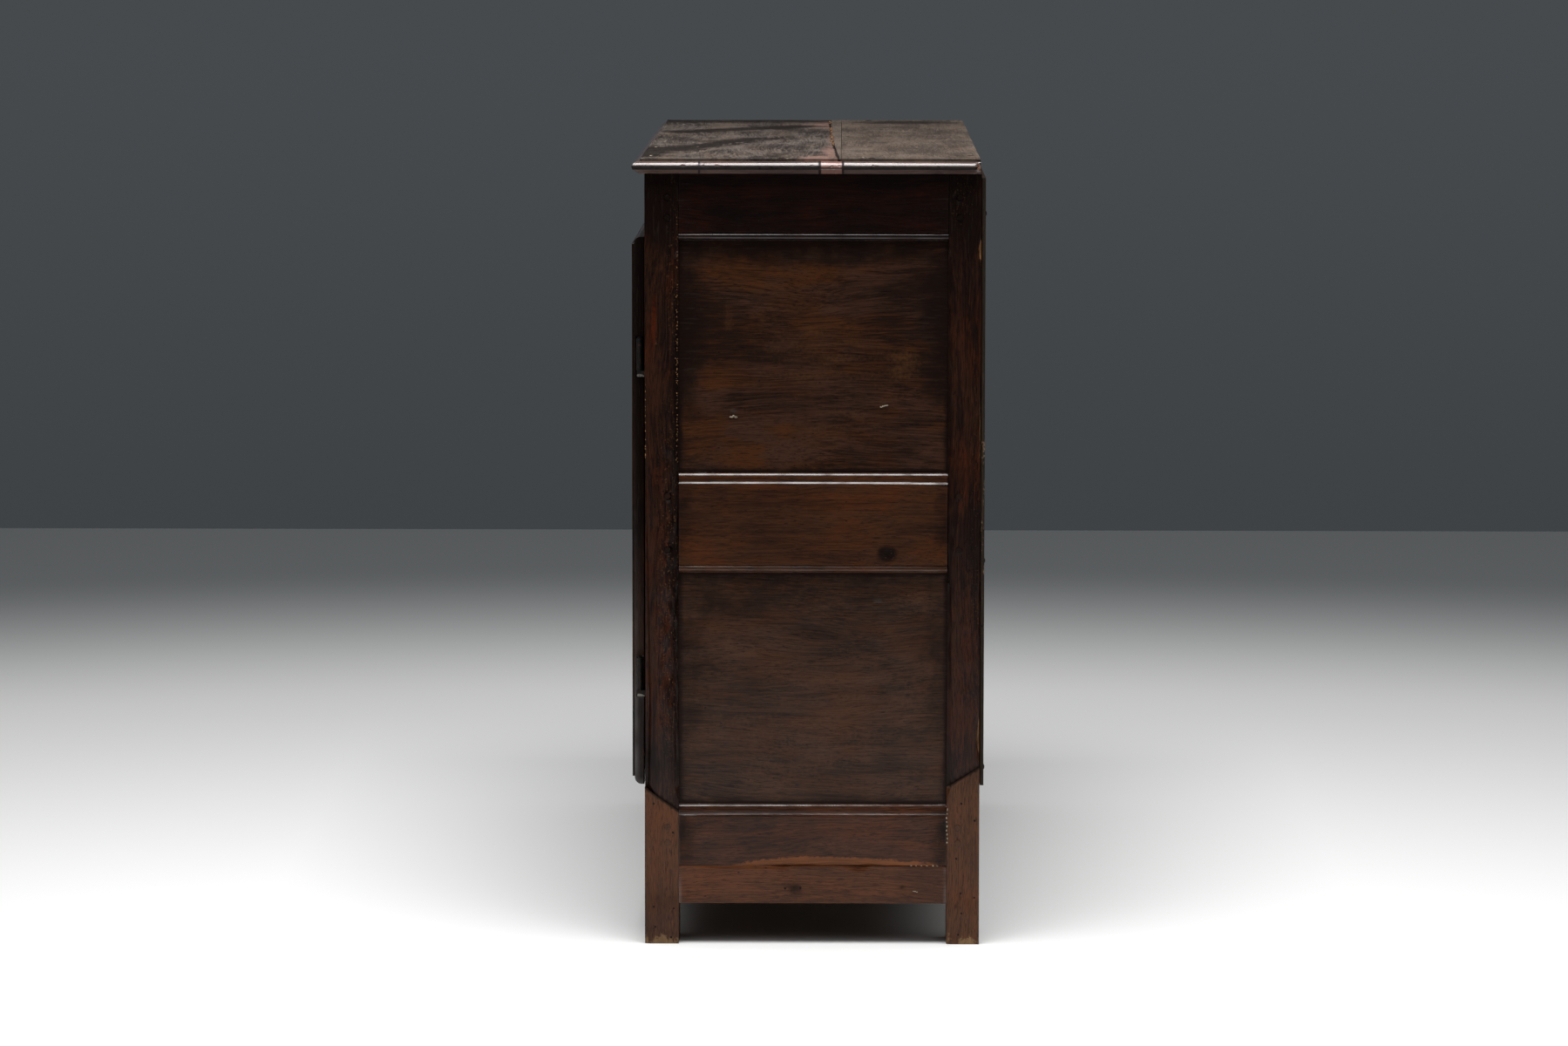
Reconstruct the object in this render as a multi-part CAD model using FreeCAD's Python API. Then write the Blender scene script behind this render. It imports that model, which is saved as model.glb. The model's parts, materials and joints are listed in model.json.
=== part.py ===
import FreeCAD, Part
import math
import os

from FreeCAD import Vector

# A low two-door buffet cupboard in joined oak, in millimetres.
# X runs along the length (the right end is +X), Y from the doors to the back, Z up from the floor.
# The origin is on the floor, at the middle of everything the piece takes up, doors and key included.

# The case as a whole
body_length = 1200.0
body_depth = 417.0
body_height = 961.0
top_thickness = 19.0

# Corner posts, and the new feet that are scarfed under them
front_post_width = 75.0
front_post_depth = 42.5
rear_post_width = 60.0
rear_post_depth = 41.0
post_chamfer = 5.0
chamfer_stop = 16.0
chamfer_from_rail = 4.0
front_scarf_outer_height = 197.0
front_scarf_inner_height = 167.5
rear_scarf_inner_height = 198.0
rear_scarf_outer_height = 223.5

# Rails and panels of the frame
rail_thickness = 24.0
rail_setback = 1.0
foot_height = 51.0
base_strip_height = 47.5
end_bottom_rail_height = 77.5
lower_panel_height = 289.5
end_middle_rail_height = 125.0
end_top_rail_height = 83.0
front_top_rail_height = 96.0
front_bottom_rail_height = 107.5
muntin_width = 80.0
back_top_rail_height = 95.0
back_middle_rail_height = 77.0
back_bottom_rail_height = 140.0
panel_setback = 8.0
panel_thickness = 12.0
panel_back_bevel = 22.0

# Joints: mortise, tenon, groove and peg
tenon_thickness = 8.0
tenon_length = 30.0
tenon_haunch = 15.0
mortise_slack = 1.0
groove_depth = 9.0
tongue_length = 8.5
peg_radius = 4.0
peg_clearance = 0.1
peg_from_shoulder = 14.0
peg_edge_distance = 14.0
peg_proud = 0.6
peg_length = 32.0

# Mouldings run on the long edges of the end rails: a shouldered one upwards, a bead downwards
shoulder_height = 14.0
shoulder_bevel = 2.8
shoulder_depth = 5.0
shoulder_first_step = 2.0
shoulder_second_step = 3.5
shoulder_swell = 0.7
shoulder_last_fillet = 1.2
shoulder_last_bevel = 2.0
bead_height = 10.0
bead_quirk_width = 0.9
bead_quirk_depth = 1.6
bead_width = 7.2
bead_end_depth = 2.8
bead_edge_depth = 5.0

# Top boards and the nosing strips round three of their edges
nosing_width = 9.8
board_overhang_front = 5.5
board_overhang_end = 2.5
board_rear_inset = 1.5
top_joint_from_front = 243.0
nosing_bevel_height = 5.8
nosing_under_inset = 1.0
nose_height = 8.8
nosing_shoulder_height = 15.6
nosing_swell_height = 12.9
nosing_swell_inset = 2.3
corner_strip_end = 68.0
patch_start = 216.5
patch_end = 245.5
top_peg_length = 42.0
top_peg_inset = 12.0
top_peg_pitch = 233.0
top_peg_first = 97.0
end_peg_front = 170.0
end_peg_rear = 281.0

# Back boards, floor, shelf and the bearers under them
back_board_thickness = 5.0
back_board_count = 6
back_board_gap = 1.0
back_board_bottom = 200.0
back_board_top_gap = 5.0
back_board_side_inset = 3.0
nail_width = 3.0
nail_tip = 1.0
nail_length = 24.0
nail_head_width = 7.5
nail_head_rise = 1.6
nail_edge_distance = 30.0
floor_board_thickness = 18.0
floor_top = 196.0
floor_board_count = 3
bearer_size = 20.0
bearer_end_gap = 2.0
shelf_thickness = 18.0
shelf_height = 535.0
shelf_front_setback = 60.0
shelf_joint_from_front = 240.0
board_end_clearance = 1.0
post_notch_clearance = 1.0
board_gap = 0.6

# Doors
door_gap = 1.5
door_thickness = 15.5
door_lap_bottom = 11.5
door_lap_top = 15.5
door_over_post = 30.0
door_over_muntin = 25.0
door_stile_width = 80.0
door_top_rail_height = 78.0
door_middle_rail_height = 82.0
door_bottom_rail_height = 92.0
door_middle_rail_rise = 20.5
door_edge_step = 2.5
door_edge_round = 9.0
door_tenon_thickness = 5.0
door_tenon_length = 42.0
door_groove_depth = 8.0
door_tongue_length = 7.5
door_tongue_from_back = 5.0
sticking_width = 9.0
sticking_step = 1.0
sticking_depth = 4.0
sticking_swell = 0.7
field_bevel = 34.0
field_step = 1.2
field_below_face = 1.0
bevel_rise = 2.0
door_peg_radius = 3.2
door_peg_length = 14.0
door_peg_from_shoulder = 13.0

# Hinges: a pintle driven into the post, and a knuckle let into the door
pin_from_door_back = 5.5
pin_radius = 2.7
pin_running_clearance = 0.05
knuckle_radius = 4.2
knuckle_height = 40.0
knuckle_seat_gap = 0.3
pin_tip = 1.6
lower_arm_above_door_foot = 111.2
upper_arm_below_door_top = 174.0
arm_height = 7.5
arm_width = 7.0
spike_length = 35.0
spike_tip = 2.0
leaf_thickness = 2.5
leaf_length = 30.0
leaf_inset = 3.0
hinge_notch_clearance = 1.0

# Locks, their bolts and the key
lock_width = 58.0
lock_height = 84.0
lock_depth = 17.0
lock_wall = 2.0
lock_above_middle_rail = 54.0
lock_side_gap = 3.0
key_below_centre = 12.0
key_from_lock_edge = 30.0
bolt_thickness = 5.0
bolt_height = 14.0
bolt_above_key = 11.0
bolt_length = 51.0
bolt_throw = 13.0
bolt_clearance = 0.3
bolt_from_door = 8.0
bolt_nose_inset = 0.2
talon_width = 26.0
talon_depth = 3.5
strike_slack = 2.0
strike_clearance = 2.5
keyhole_radius = 4.0
keyhole_slot_width = 4.6
keyhole_slot_reach = 15.0
shank_radius = 3.4
bit_reach = 14.0
bit_width = 11.0
bit_thickness = 3.4
bit_from_door = 2.5
key_tip_length = 1.0
escutcheon_thickness = 1.5
escutcheon_half_width = 15.0
escutcheon_half_height = 31.0
escutcheon_waist = 11.0
escutcheon_lobe_height = 19.0
collar_radius = 5.0
collar_length = 2.0
collar_gap = 0.5
bow_width = 25.0
bow_height = 17.0
bow_thickness = 3.6
bow_ring = 3.8

# Places that follow from the sizes
key_reach = escutcheon_thickness + collar_gap + collar_length + bow_height
front_reach = door_gap + door_thickness + key_reach
depth_over_all = front_reach + body_depth + back_board_thickness
y_front = front_reach - depth_over_all / 2
y_rear = y_front + body_depth
y_front_post = y_front + front_post_depth
y_rear_post = y_rear - rear_post_depth
x_end = body_length / 2
x_front_post = x_end - front_post_width
x_rear_post = x_end - rear_post_width
x_rail_face = x_end - rail_setback
x_rail_back = x_rail_face - rail_thickness
x_panel_face = x_end - panel_setback
x_tenon = x_panel_face - tenon_thickness
y_rail_face = y_front + rail_setback
y_rail_back = y_rail_face + rail_thickness
y_front_tenon = y_rail_face + (rail_thickness - tenon_thickness) / 2
y_back_rail = y_rear - rail_thickness
y_back_tenon = y_back_rail + (rail_thickness - tenon_thickness) / 2
z_bottom_rail = foot_height + base_strip_height
z_lower_panel = z_bottom_rail + end_bottom_rail_height
z_middle_rail = z_lower_panel + lower_panel_height
z_upper_panel = z_middle_rail + end_middle_rail_height
z_top_rail = body_height - end_top_rail_height
z_front_opening = z_bottom_rail + front_bottom_rail_height
z_front_top_rail = body_height - front_top_rail_height
x_door_hinge = x_front_post + door_over_post
x_door_lock = muntin_width / 2 - door_over_muntin
y_door_back = y_front - door_gap
y_door_face = y_door_back - door_thickness
y_pin = y_door_back - pin_from_door_back
z_door_bottom = z_front_opening - door_lap_bottom
z_door_top = z_front_top_rail + door_lap_top
door_height = z_door_top - z_door_bottom
z_door_middle = z_middle_rail + door_middle_rail_rise
z_lock = z_door_middle + door_middle_rail_height + lock_above_middle_rail
over_cut = 5.0

nodes = {}


def box(x0, x1, y0, y1, z0, z1):
    return Part.makeBox(x1 - x0, y1 - y0, z1 - z0, Vector(x0, y0, z0))


def outline(points):
    """A closed wire through points; a point given as (middle, end) is reached by an arc."""
    edges = []
    at = points[0]
    for step in points[1:] + [points[0]]:
        if isinstance(step, tuple):
            edges.append(Part.Arc(at, step[0], step[1]).toShape())
            at = step[1]
        elif (step - at).Length > 0:
            edges.append(Part.LineSegment(at, step).toShape())
            at = step
    return Part.Wire(edges)


def prism(points, along):
    return Part.Face(outline(points)).extrude(along)


def rectangle(corner, across, up):
    return outline([corner, corner + across, corner + across + up, corner + up])


def tapered(first, second):
    """The solid between two rectangles."""
    return Part.makeLoft([first, second], True, True)


def octagon_peg(foot, along, radius, length):
    """An eight-sided riven peg from foot, a point, along a unit vector."""
    side = Vector(0, 0, 1) if abs(along.z) < math.cos(math.pi / 4) else Vector(1, 0, 0)
    other = along.cross(side)
    turns = [math.pi * (2 * k + 1) / 8 for k in range(8)]
    ring = [foot + side * (radius * math.cos(t)) + other * (radius * math.sin(t)) for t in turns]
    return prism(ring, along * length)


def drive_peg(pegs, names, head, along, radius, length, proud):
    """Bores the named pieces from head, a point on the face, and adds the peg that fills the bore."""
    hole = octagon_peg(head - along * over_cut, along, radius + peg_clearance, over_cut + length + peg_clearance)
    for name in names:
        nodes[name] = nodes[name].cut(hole)
    pegs.append(octagon_peg(head - along * proud, along, radius, length + proud))


def mirrored(shape):
    return shape.mirror(Vector(0, 0, 0), Vector(1, 0, 0))


def both_ends(name, shape):
    nodes[name + "_right"] = shape
    nodes[name + "_left"] = mirrored(shape)


# Tenons and mortises. A mortise is its tenon with slack at the bottom.
def end_tenon(z0, z1, slack, to_front):
    """The tenon of an end rail into the front or the rear post."""
    if to_front:
        return box(x_tenon, x_panel_face, y_front_post - tenon_length - slack, y_front_post, z0, z1)
    return box(x_tenon, x_panel_face, y_rear_post, y_rear_post + tenon_length + slack, z0, z1)


def cross_tenon(x_shoulder, y0, z0, z1, slack):
    """The tenon of a front or back rail into the right-hand post."""
    return box(x_shoulder, x_shoulder + tenon_length + slack, y0, y0 + tenon_thickness, z0, z1)


end_tenons = [
    (z_bottom_rail + tenon_haunch, z_lower_panel - tenon_haunch),
    (z_middle_rail + tenon_haunch, z_upper_panel - tenon_haunch),
    (z_top_rail + tenon_haunch, body_height - tenon_haunch),
]
front_tenons = [
    (z_bottom_rail + tenon_haunch, z_front_opening - 2 * tenon_haunch),
    (z_front_top_rail + tenon_haunch, body_height - tenon_haunch),
]
z_back_middle_rail = shelf_height - shelf_thickness - back_middle_rail_height
z_back_top_rail = body_height - back_top_rail_height
back_rail_spans = [
    (z_bottom_rail, z_bottom_rail + back_bottom_rail_height),
    (z_back_middle_rail, z_back_middle_rail + back_middle_rail_height),
    (z_back_top_rail, body_height),
]
back_tenons = [(z0 + tenon_haunch, z1 - tenon_haunch) for z0, z1 in back_rail_spans]
panel_spans = [(z_lower_panel, z_middle_rail), (z_upper_panel, z_top_rail)]


# Posts. Each is made whole with its mortises, grooves and stopped chamfers, then sawn at the scarf.
def stopped_chamfer(y_arris, inwards, z0, z1):
    """The waste of a chamfer on an inner arris of the right end, which runs out to nothing at both stops."""
    def cross_section(z):
        return outline([
            Vector(x_end, y_arris, z),
            Vector(x_end - post_chamfer, y_arris, z),
            Vector(x_end, y_arris + inwards * post_chamfer, z),
        ])

    first, last = z0 + chamfer_from_rail, z1 - chamfer_from_rail
    low, high = cross_section(first + chamfer_stop), cross_section(last - chamfer_stop)
    ends = [Part.Vertex(x_end, y_arris, first), Part.Vertex(x_end, y_arris, last)]
    return Part.makeLoft([ends[0], low, high, ends[1]], True, True)


def post_blank(x0, y0, y1, y_inner, to_front, cross_x, cross_y, cross_spans):
    post = box(x0, x_end, y0, y1, 0, body_height)
    for z0, z1 in end_tenons:
        post = post.cut(end_tenon(z0, z1, mortise_slack, to_front))
    for z0, z1 in cross_spans:
        post = post.cut(cross_tenon(cross_x, cross_y, z0, z1, mortise_slack))
    deep = y_inner - groove_depth if to_front else y_inner
    for z0, z1 in panel_spans:
        post = post.cut(box(x_tenon, x_panel_face, deep, deep + groove_depth, z0 - groove_depth, z1 + groove_depth))
        post = post.cut(stopped_chamfer(y_inner, -1 if to_front else 1, z0, z1))
    return post


def split_at_scarf(name, post, y0, z0, y1, z1):
    """Saws a post along the line from (y0, z0) to (y1, z1) into the old post and its new foot."""
    below = prism([Vector(0, y0, 0), Vector(0, y1, 0), Vector(0, y1, z1), Vector(0, y0, z0)], Vector(body_length, 0, 0))
    both_ends(name + "_post", post.cut(below))
    both_ends(name + "_foot", post.common(below))


split_at_scarf(
    "front",
    post_blank(x_front_post, y_front, y_front_post, y_front_post, True, x_front_post, y_front_tenon, front_tenons),
    y_front, front_scarf_outer_height, y_front_post, front_scarf_inner_height,
)
split_at_scarf(
    "rear",
    post_blank(x_rear_post, y_rear_post, y_rear, y_rear_post, False, x_rear_post, y_back_tenon, back_tenons),
    y_rear_post, rear_scarf_inner_height, y_rear, rear_scarf_outer_height,
)


# End rails. The face carries the mouldings; the edge towards a panel is grooved for it.
def rail_section(z0, z1, shoulder_above, bead_below):
    """The section of an end rail in the plane of its shoulder, from the back bottom corner round."""
    def at(depth, z):
        return Vector(x_rail_face - depth, y_front_post, z)

    points = [at(rail_thickness, z1), at(rail_thickness, z0)]
    if bead_below:
        z_bead = z0 + bead_height - bead_quirk_width
        points += [
            at(bead_edge_depth, z0),
            at(bead_end_depth, z_bead - bead_width),
            (at(0, z_bead - bead_width / 2), at(bead_quirk_depth, z_bead)),
            at(0, z0 + bead_height),
        ]
    else:
        points.append(at(0, z0))
    if shoulder_above:
        z_face = z1 - shoulder_height
        z_last = z1 - shoulder_last_fillet - shoulder_last_bevel
        middle = at((shoulder_first_step + shoulder_second_step) / 2 - shoulder_swell, (z_face + shoulder_bevel + z_last) / 2)
        points += [
            at(0, z_face),
            at(shoulder_first_step, z_face + shoulder_bevel),
            (middle, at(shoulder_second_step, z_last)),
            at(shoulder_depth, z1 - shoulder_last_fillet),
            at(shoulder_depth, z1),
        ]
    else:
        points.append(at(0, z1))
    return points


def end_rail(z0, z1, tenon, panel_above, panel_below):
    rail = prism(rail_section(z0, z1, panel_above, panel_below), Vector(0, y_rear_post - y_front_post, 0))
    if panel_above:
        rail = rail.cut(box(x_tenon, x_panel_face, y_front_post, y_rear_post, z1 - groove_depth, z1))
    if panel_below:
        rail = rail.cut(box(x_tenon, x_panel_face, y_front_post, y_rear_post, z0, z0 + groove_depth))
    for to_front in (True, False):
        rail = rail.fuse(end_tenon(tenon[0], tenon[1], 0, to_front))
    return rail.removeSplitter()


both_ends("end_bottom_rail", end_rail(z_bottom_rail, z_lower_panel, end_tenons[0], True, False))
both_ends("end_middle_rail", end_rail(z_middle_rail, z_upper_panel, end_tenons[1], True, True))
both_ends("end_top_rail", end_rail(z_top_rail, body_height, end_tenons[2], False, True))


# End panels: flat outside, with the tongue left by a wide bevel on the inside
def end_panel(z0, z1):
    tongue = box(
        x_tenon, x_panel_face, y_front_post - tongue_length, y_rear_post + tongue_length,
        z0 - tongue_length, z1 + tongue_length,
    )
    wide, tall = y_rear_post - y_front_post, z1 - z0
    x_back = x_panel_face - panel_thickness
    base = rectangle(Vector(x_tenon, y_front_post, z0), Vector(0, wide, 0), Vector(0, 0, tall))
    crown = rectangle(
        Vector(x_back, y_front_post + panel_back_bevel, z0 + panel_back_bevel),
        Vector(0, wide - 2 * panel_back_bevel, 0), Vector(0, 0, tall - 2 * panel_back_bevel),
    )
    return tongue.fuse(tapered(base, crown)).removeSplitter()


both_ends("end_lower_panel", end_panel(z_lower_panel, z_middle_rail))
both_ends("end_upper_panel", end_panel(z_upper_panel, z_top_rail))

# Base strips: later boards fitted under the bottom rails, between the new feet
end_strip = box(x_rail_back, x_rail_face, y_front_post, y_rear_post, foot_height, z_bottom_rail)
front_strip = box(-x_front_post, x_front_post, y_rail_face, y_rail_back, foot_height, z_bottom_rail)
nodes["base_strips"] = Part.makeCompound([end_strip, mirrored(end_strip), front_strip])


# Front frame: two rails between the posts and a muntin between the doors
def cross_rail(x_shoulder, y0, y_tenon, z0, z1, tenon):
    rail = box(-x_shoulder, x_shoulder, y0, y0 + rail_thickness, z0, z1)
    stub = cross_tenon(x_shoulder, y_tenon, tenon[0], tenon[1], 0)
    return rail.fuse(stub).fuse(mirrored(stub)).removeSplitter()


def muntin_tenon(z_shoulder, up, slack):
    z_end = z_shoulder + up * (tenon_length + slack)
    half = muntin_width / 2 - tenon_haunch
    z0, z1 = sorted((z_shoulder, z_end))
    return box(-half, half, y_front_tenon, y_front_tenon + tenon_thickness, z0, z1)


nodes["front_bottom_rail"] = cross_rail(
    x_front_post, y_rail_face, y_front_tenon, z_bottom_rail, z_front_opening, front_tenons[0]
).cut(muntin_tenon(z_front_opening, -1, mortise_slack))
nodes["front_top_rail"] = cross_rail(
    x_front_post, y_rail_face, y_front_tenon, z_front_top_rail, body_height, front_tenons[1]
).cut(muntin_tenon(z_front_top_rail, 1, mortise_slack))

y_bolt = y_door_back + bolt_from_door
z_key = z_lock - key_below_centre
z_bolt = z_key + bolt_above_key
strike = box(
    muntin_width / 2 - bolt_throw - strike_slack, muntin_width / 2 + over_cut,
    y_bolt - strike_clearance, y_bolt + bolt_thickness + strike_clearance,
    z_bolt - strike_clearance, z_bolt + bolt_height + strike_clearance,
)
muntin = box(-muntin_width / 2, muntin_width / 2, y_rail_face, y_rail_back, z_front_opening, z_front_top_rail)
for stub in (muntin_tenon(z_front_opening, -1, 0), muntin_tenon(z_front_top_rail, 1, 0)):
    muntin = muntin.fuse(stub)
nodes["front_muntin"] = muntin.removeSplitter().cut(strike).cut(mirrored(strike))

# Back frame: three rails, and thin boards nailed over them from behind
nodes["back_rails"] = Part.makeCompound([
    cross_rail(x_rear_post, y_back_rail, y_back_tenon, span[0], span[1], tenon)
    for span, tenon in zip(back_rail_spans, back_tenons)
])
back_width = body_length - 2 * back_board_side_inset
back_board_width = (back_width - back_board_gap * (back_board_count - 1)) / back_board_count
x_boards = [back_board_side_inset - x_end + k * (back_board_width + back_board_gap) for k in range(back_board_count)]
y_back = y_rear + back_board_thickness
nodes["back_boards"] = Part.makeCompound([
    box(x, x + back_board_width, y_rear, y_back, back_board_bottom, body_height - back_board_top_gap) for x in x_boards
])


def nail(x, z):
    """A hand-forged nail driven from behind: a tapering square shank under a four-sided head."""
    def square(width, y):
        return rectangle(Vector(x - width / 2, y, z - width / 2), Vector(width, 0, 0), Vector(0, 0, width))

    shank = tapered(square(nail_width, y_back), square(nail_tip, y_back - nail_length))
    head = tapered(square(nail_head_width, y_back), square(nail_width, y_back + nail_head_rise))
    return shank, head


back_nails = []
x_nails = [x + d for x in x_boards for d in (nail_edge_distance, back_board_width - nail_edge_distance)]
z_nails = [(max(z0, back_board_bottom) + min(z1, body_height - back_board_top_gap)) / 2 for z0, z1 in back_rail_spans]
for x in x_nails:
    for z in z_nails:
        shank, head = nail(x, z)
        side = "right" if x > 0 else "left"
        for name in ("back_boards", "back_rails", "rear_post_" + side, "rear_foot_" + side):
            nodes[name] = nodes[name].cut(shank)
        back_nails.append(shank.fuse(head))
nodes["back_nails"] = Part.makeCompound(back_nails)

# Top: two long boards, edged on the front and both ends by a moulded strip
z_top = body_height + top_thickness
x_board_end = x_end + board_overhang_end
y_board_front = y_front - board_overhang_front
y_board_rear = y_rear - board_rear_inset
y_top_joint = y_front + top_joint_from_front
nodes["top_board_front"] = box(-x_board_end, x_board_end, y_board_front, y_top_joint - board_gap / 2, body_height, z_top)
nodes["top_board_rear"] = box(-x_board_end, x_board_end, y_top_joint + board_gap / 2, y_board_rear, body_height, z_top)


def nosing_profile(at):
    """The nosing's section; at(out, up) places a point out from its joint with the boards."""
    return [
        at(0, body_height),
        at(nosing_width - nosing_under_inset, body_height + nosing_bevel_height),
        at(nosing_width, body_height + nose_height),
        (
            at(nosing_width - nosing_swell_inset, body_height + nosing_swell_height),
            at(0, body_height + nosing_shoulder_height),
        ),
    ]


def plan(points):
    return prism([Vector(x, y, body_height) for x, y in points], Vector(0, 0, top_thickness))


x_nose = x_board_end + nosing_width
y_nose = y_board_front - nosing_width
front_bar = prism(nosing_profile(lambda out, up: Vector(-x_nose, y_board_front - out, up)), Vector(2 * x_nose, 0, 0))
end_bar = prism(nosing_profile(lambda out, up: Vector(x_board_end + out, y_nose, up)), Vector(0, y_board_rear - y_nose, 0))
nodes["top_nosing_front"] = front_bar.common(
    plan([(-x_nose, y_nose), (x_nose, y_nose), (x_board_end, y_board_front), (-x_board_end, y_board_front)])
)
end_strip_plan = [(x_board_end, y_board_front), (x_nose, y_nose), (x_nose, y_board_rear), (x_board_end, y_board_rear)]
end_nosing = end_bar.common(plan(end_strip_plan))
nodes["top_nosing_left"] = mirrored(end_nosing)
# The photographed end has been mended: a corner piece, a long strip, a short patch at the joint, and a strip
cuts = [y_nose, y_front + corner_strip_end, y_front + patch_start, y_front + patch_end, y_board_rear]
nodes["top_nosing_right"] = Part.makeCompound([
    end_nosing.common(box(x_board_end, x_nose, y0, y1, body_height, z_top)).Solids[0]
    for y0, y1 in zip(cuts[:-1], cuts[1:])
])

# Floor, shelf and the bearers that carry them
x_floor_end = x_panel_face - panel_thickness - board_end_clearance
x_shelf_end = x_rail_back - board_end_clearance / 2
post_boxes = []
for x_post, y0, y1 in ((x_front_post, y_front, y_front_post), (x_rear_post, y_rear_post, y_rear)):
    notch = box(
        x_post - post_notch_clearance, x_end,
        y0 - post_notch_clearance, y1 + post_notch_clearance, 0, body_height,
    )
    post_boxes += [notch, mirrored(notch)]


def boards(x_half, y_edges, z_top_face, thickness):
    """Boards side by side along X, notched round the posts."""
    made = []
    for y0, y1 in zip(y_edges[:-1], y_edges[1:]):
        board = box(-x_half, x_half, y0 + board_gap / 2, y1 - board_gap / 2, z_top_face - thickness, z_top_face)
        for notch in post_boxes:
            board = board.cut(notch)
        made.append(board)
    return Part.makeCompound(made)


floor_pitch = (y_back_rail - y_rail_back) / floor_board_count
floor_edges = [y_rail_back + k * floor_pitch for k in range(floor_board_count + 1)]
nodes["floor_boards"] = boards(x_floor_end, floor_edges, floor_top, floor_board_thickness)
shelf_edges = [y_front + shelf_front_setback, y_front + shelf_joint_from_front, y_rear]
nodes["shelf_boards"] = boards(x_shelf_end, shelf_edges, shelf_height, shelf_thickness)

bearers = []
for z_board in (floor_top - floor_board_thickness, shelf_height - shelf_thickness):
    side = box(
        x_rail_back - bearer_size, x_rail_back, y_front_post + bearer_end_gap, y_rear_post - bearer_end_gap,
        z_board - bearer_size, z_board,
    )
    bearers += [side, mirrored(side)]
z_floor_bearer = floor_top - floor_board_thickness - bearer_size
x_bearer_end = x_front_post - bearer_end_gap
for y0 in (y_rail_back, y_back_rail - bearer_size):
    bearers.append(box(-x_bearer_end, x_bearer_end, y0, y0 + bearer_size, z_floor_bearer, z_floor_bearer + bearer_size))
nodes["board_bearers"] = Part.makeCompound(bearers)

# Pegs of the case. End joints are pegged from outside, front joints from the front, back ones from behind.
case_pegs = []
y_peg_front = y_front_post - peg_from_shoulder
y_peg_rear = y_rear_post + peg_from_shoulder
end_joints = [("end_bottom_rail", "foot"), ("end_middle_rail", "post"), ("end_top_rail", "post")]
for side, inwards in (("right", -1), ("left", 1)):
    for (rail, holder), (z0, z1) in zip(end_joints, end_tenons):
        for corner, y_peg in (("front", y_peg_front), ("rear", y_peg_rear)):
            held = [f"{corner}_{holder}_{side}", f"{rail}_{side}"]
            for z in (z0 + peg_edge_distance, z1 - peg_edge_distance):
                head = Vector(-inwards * x_end, y_peg, z)
                drive_peg(case_pegs, held, head, Vector(inwards, 0, 0), peg_radius, peg_length, peg_proud)
for sign, side in ((1, "right"), (-1, "left")):
    for rail, holder, (z0, z1) in (
        ("front_bottom_rail", "front_foot", front_tenons[0]), ("front_top_rail", "front_post", front_tenons[1])
    ):
        head = Vector(sign * (x_front_post + peg_from_shoulder), y_front, (z0 + z1) / 2)
        drive_peg(case_pegs, [rail, f"{holder}_{side}"], head, Vector(0, 1, 0), peg_radius, peg_length, peg_proud)
for rail, z in (
    ("front_bottom_rail", z_front_opening - peg_from_shoulder), ("front_top_rail", z_front_top_rail + peg_from_shoulder)
):
    head = Vector(0, y_rail_face, z)
    drive_peg(case_pegs, [rail, "front_muntin"], head, Vector(0, 1, 0), peg_radius, rail_thickness, peg_proud)

# Pegs that hold the top down, into the front rail, the end rails and the back rail
y_front_row = y_rail_face + top_peg_inset
y_back_row = y_back_rail + top_peg_inset
x_rows = [x_end - top_peg_first - k * top_peg_pitch for k in range(2)]
for x in x_rows + [-x for x in x_rows]:
    down = Vector(0, 0, -1)
    drive_peg(case_pegs, ["top_board_front", "front_top_rail"], Vector(x, y_front_row, z_top), down, peg_radius, top_peg_length, 0)
    drive_peg(case_pegs, ["top_board_rear", "back_rails"], Vector(x, y_back_row, z_top), down, peg_radius, top_peg_length, 0)
for sign, side in ((1, "right"), (-1, "left")):
    for board, y in (("top_board_front", end_peg_front), ("top_board_rear", end_peg_rear)):
        head = Vector(sign * (x_rail_face - top_peg_inset), y_front + y, z_top)
        drive_peg(case_pegs, [board, f"end_top_rail_{side}"], head, Vector(0, 0, -1), peg_radius, top_peg_length, 0)
nodes["case_pegs"] = Part.makeCompound(case_pegs)


# Doors. The right one is built and mirrored. The envelope gives all four outer edges their moulding.
def edge_section(at, low, high):
    """The door's section from its back to its face; at(across, y) places a point."""
    y_step = y_door_face + door_edge_step
    y_round = y_step + door_edge_round
    slant = door_edge_round * (1 - math.cos(math.pi / 4))
    return [
        at(low, y_door_back),
        at(low, y_round),
        (at(low + slant, y_step + slant), at(low + door_edge_round, y_step)),
        at(low + door_edge_round, y_door_face),
        at(high - door_edge_round, y_door_face),
        at(high - door_edge_round, y_step),
        (at(high - slant, y_step + slant), at(high, y_round)),
        at(high, y_door_back),
    ]


door_width = x_door_hinge - x_door_lock
envelope = prism(
    edge_section(lambda x, y: Vector(x, y, z_door_bottom), x_door_lock, x_door_hinge), Vector(0, 0, door_height)
).common(prism(
    edge_section(lambda z, y: Vector(x_door_lock, y, z), z_door_bottom, z_door_top), Vector(door_width, 0, 0)
))


def sticking(at, along):
    """The waste of the moulding on an inner edge; at(inwards, depth) places a point of its section."""
    return prism([
        at(-over_cut, -over_cut),
        at(sticking_width, -over_cut),
        at(sticking_width, sticking_step),
        (at(sticking_width / 2, (sticking_step + sticking_depth) / 2 - sticking_swell), at(0, sticking_depth)),
        at(-over_cut, sticking_depth),
    ], along)


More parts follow.
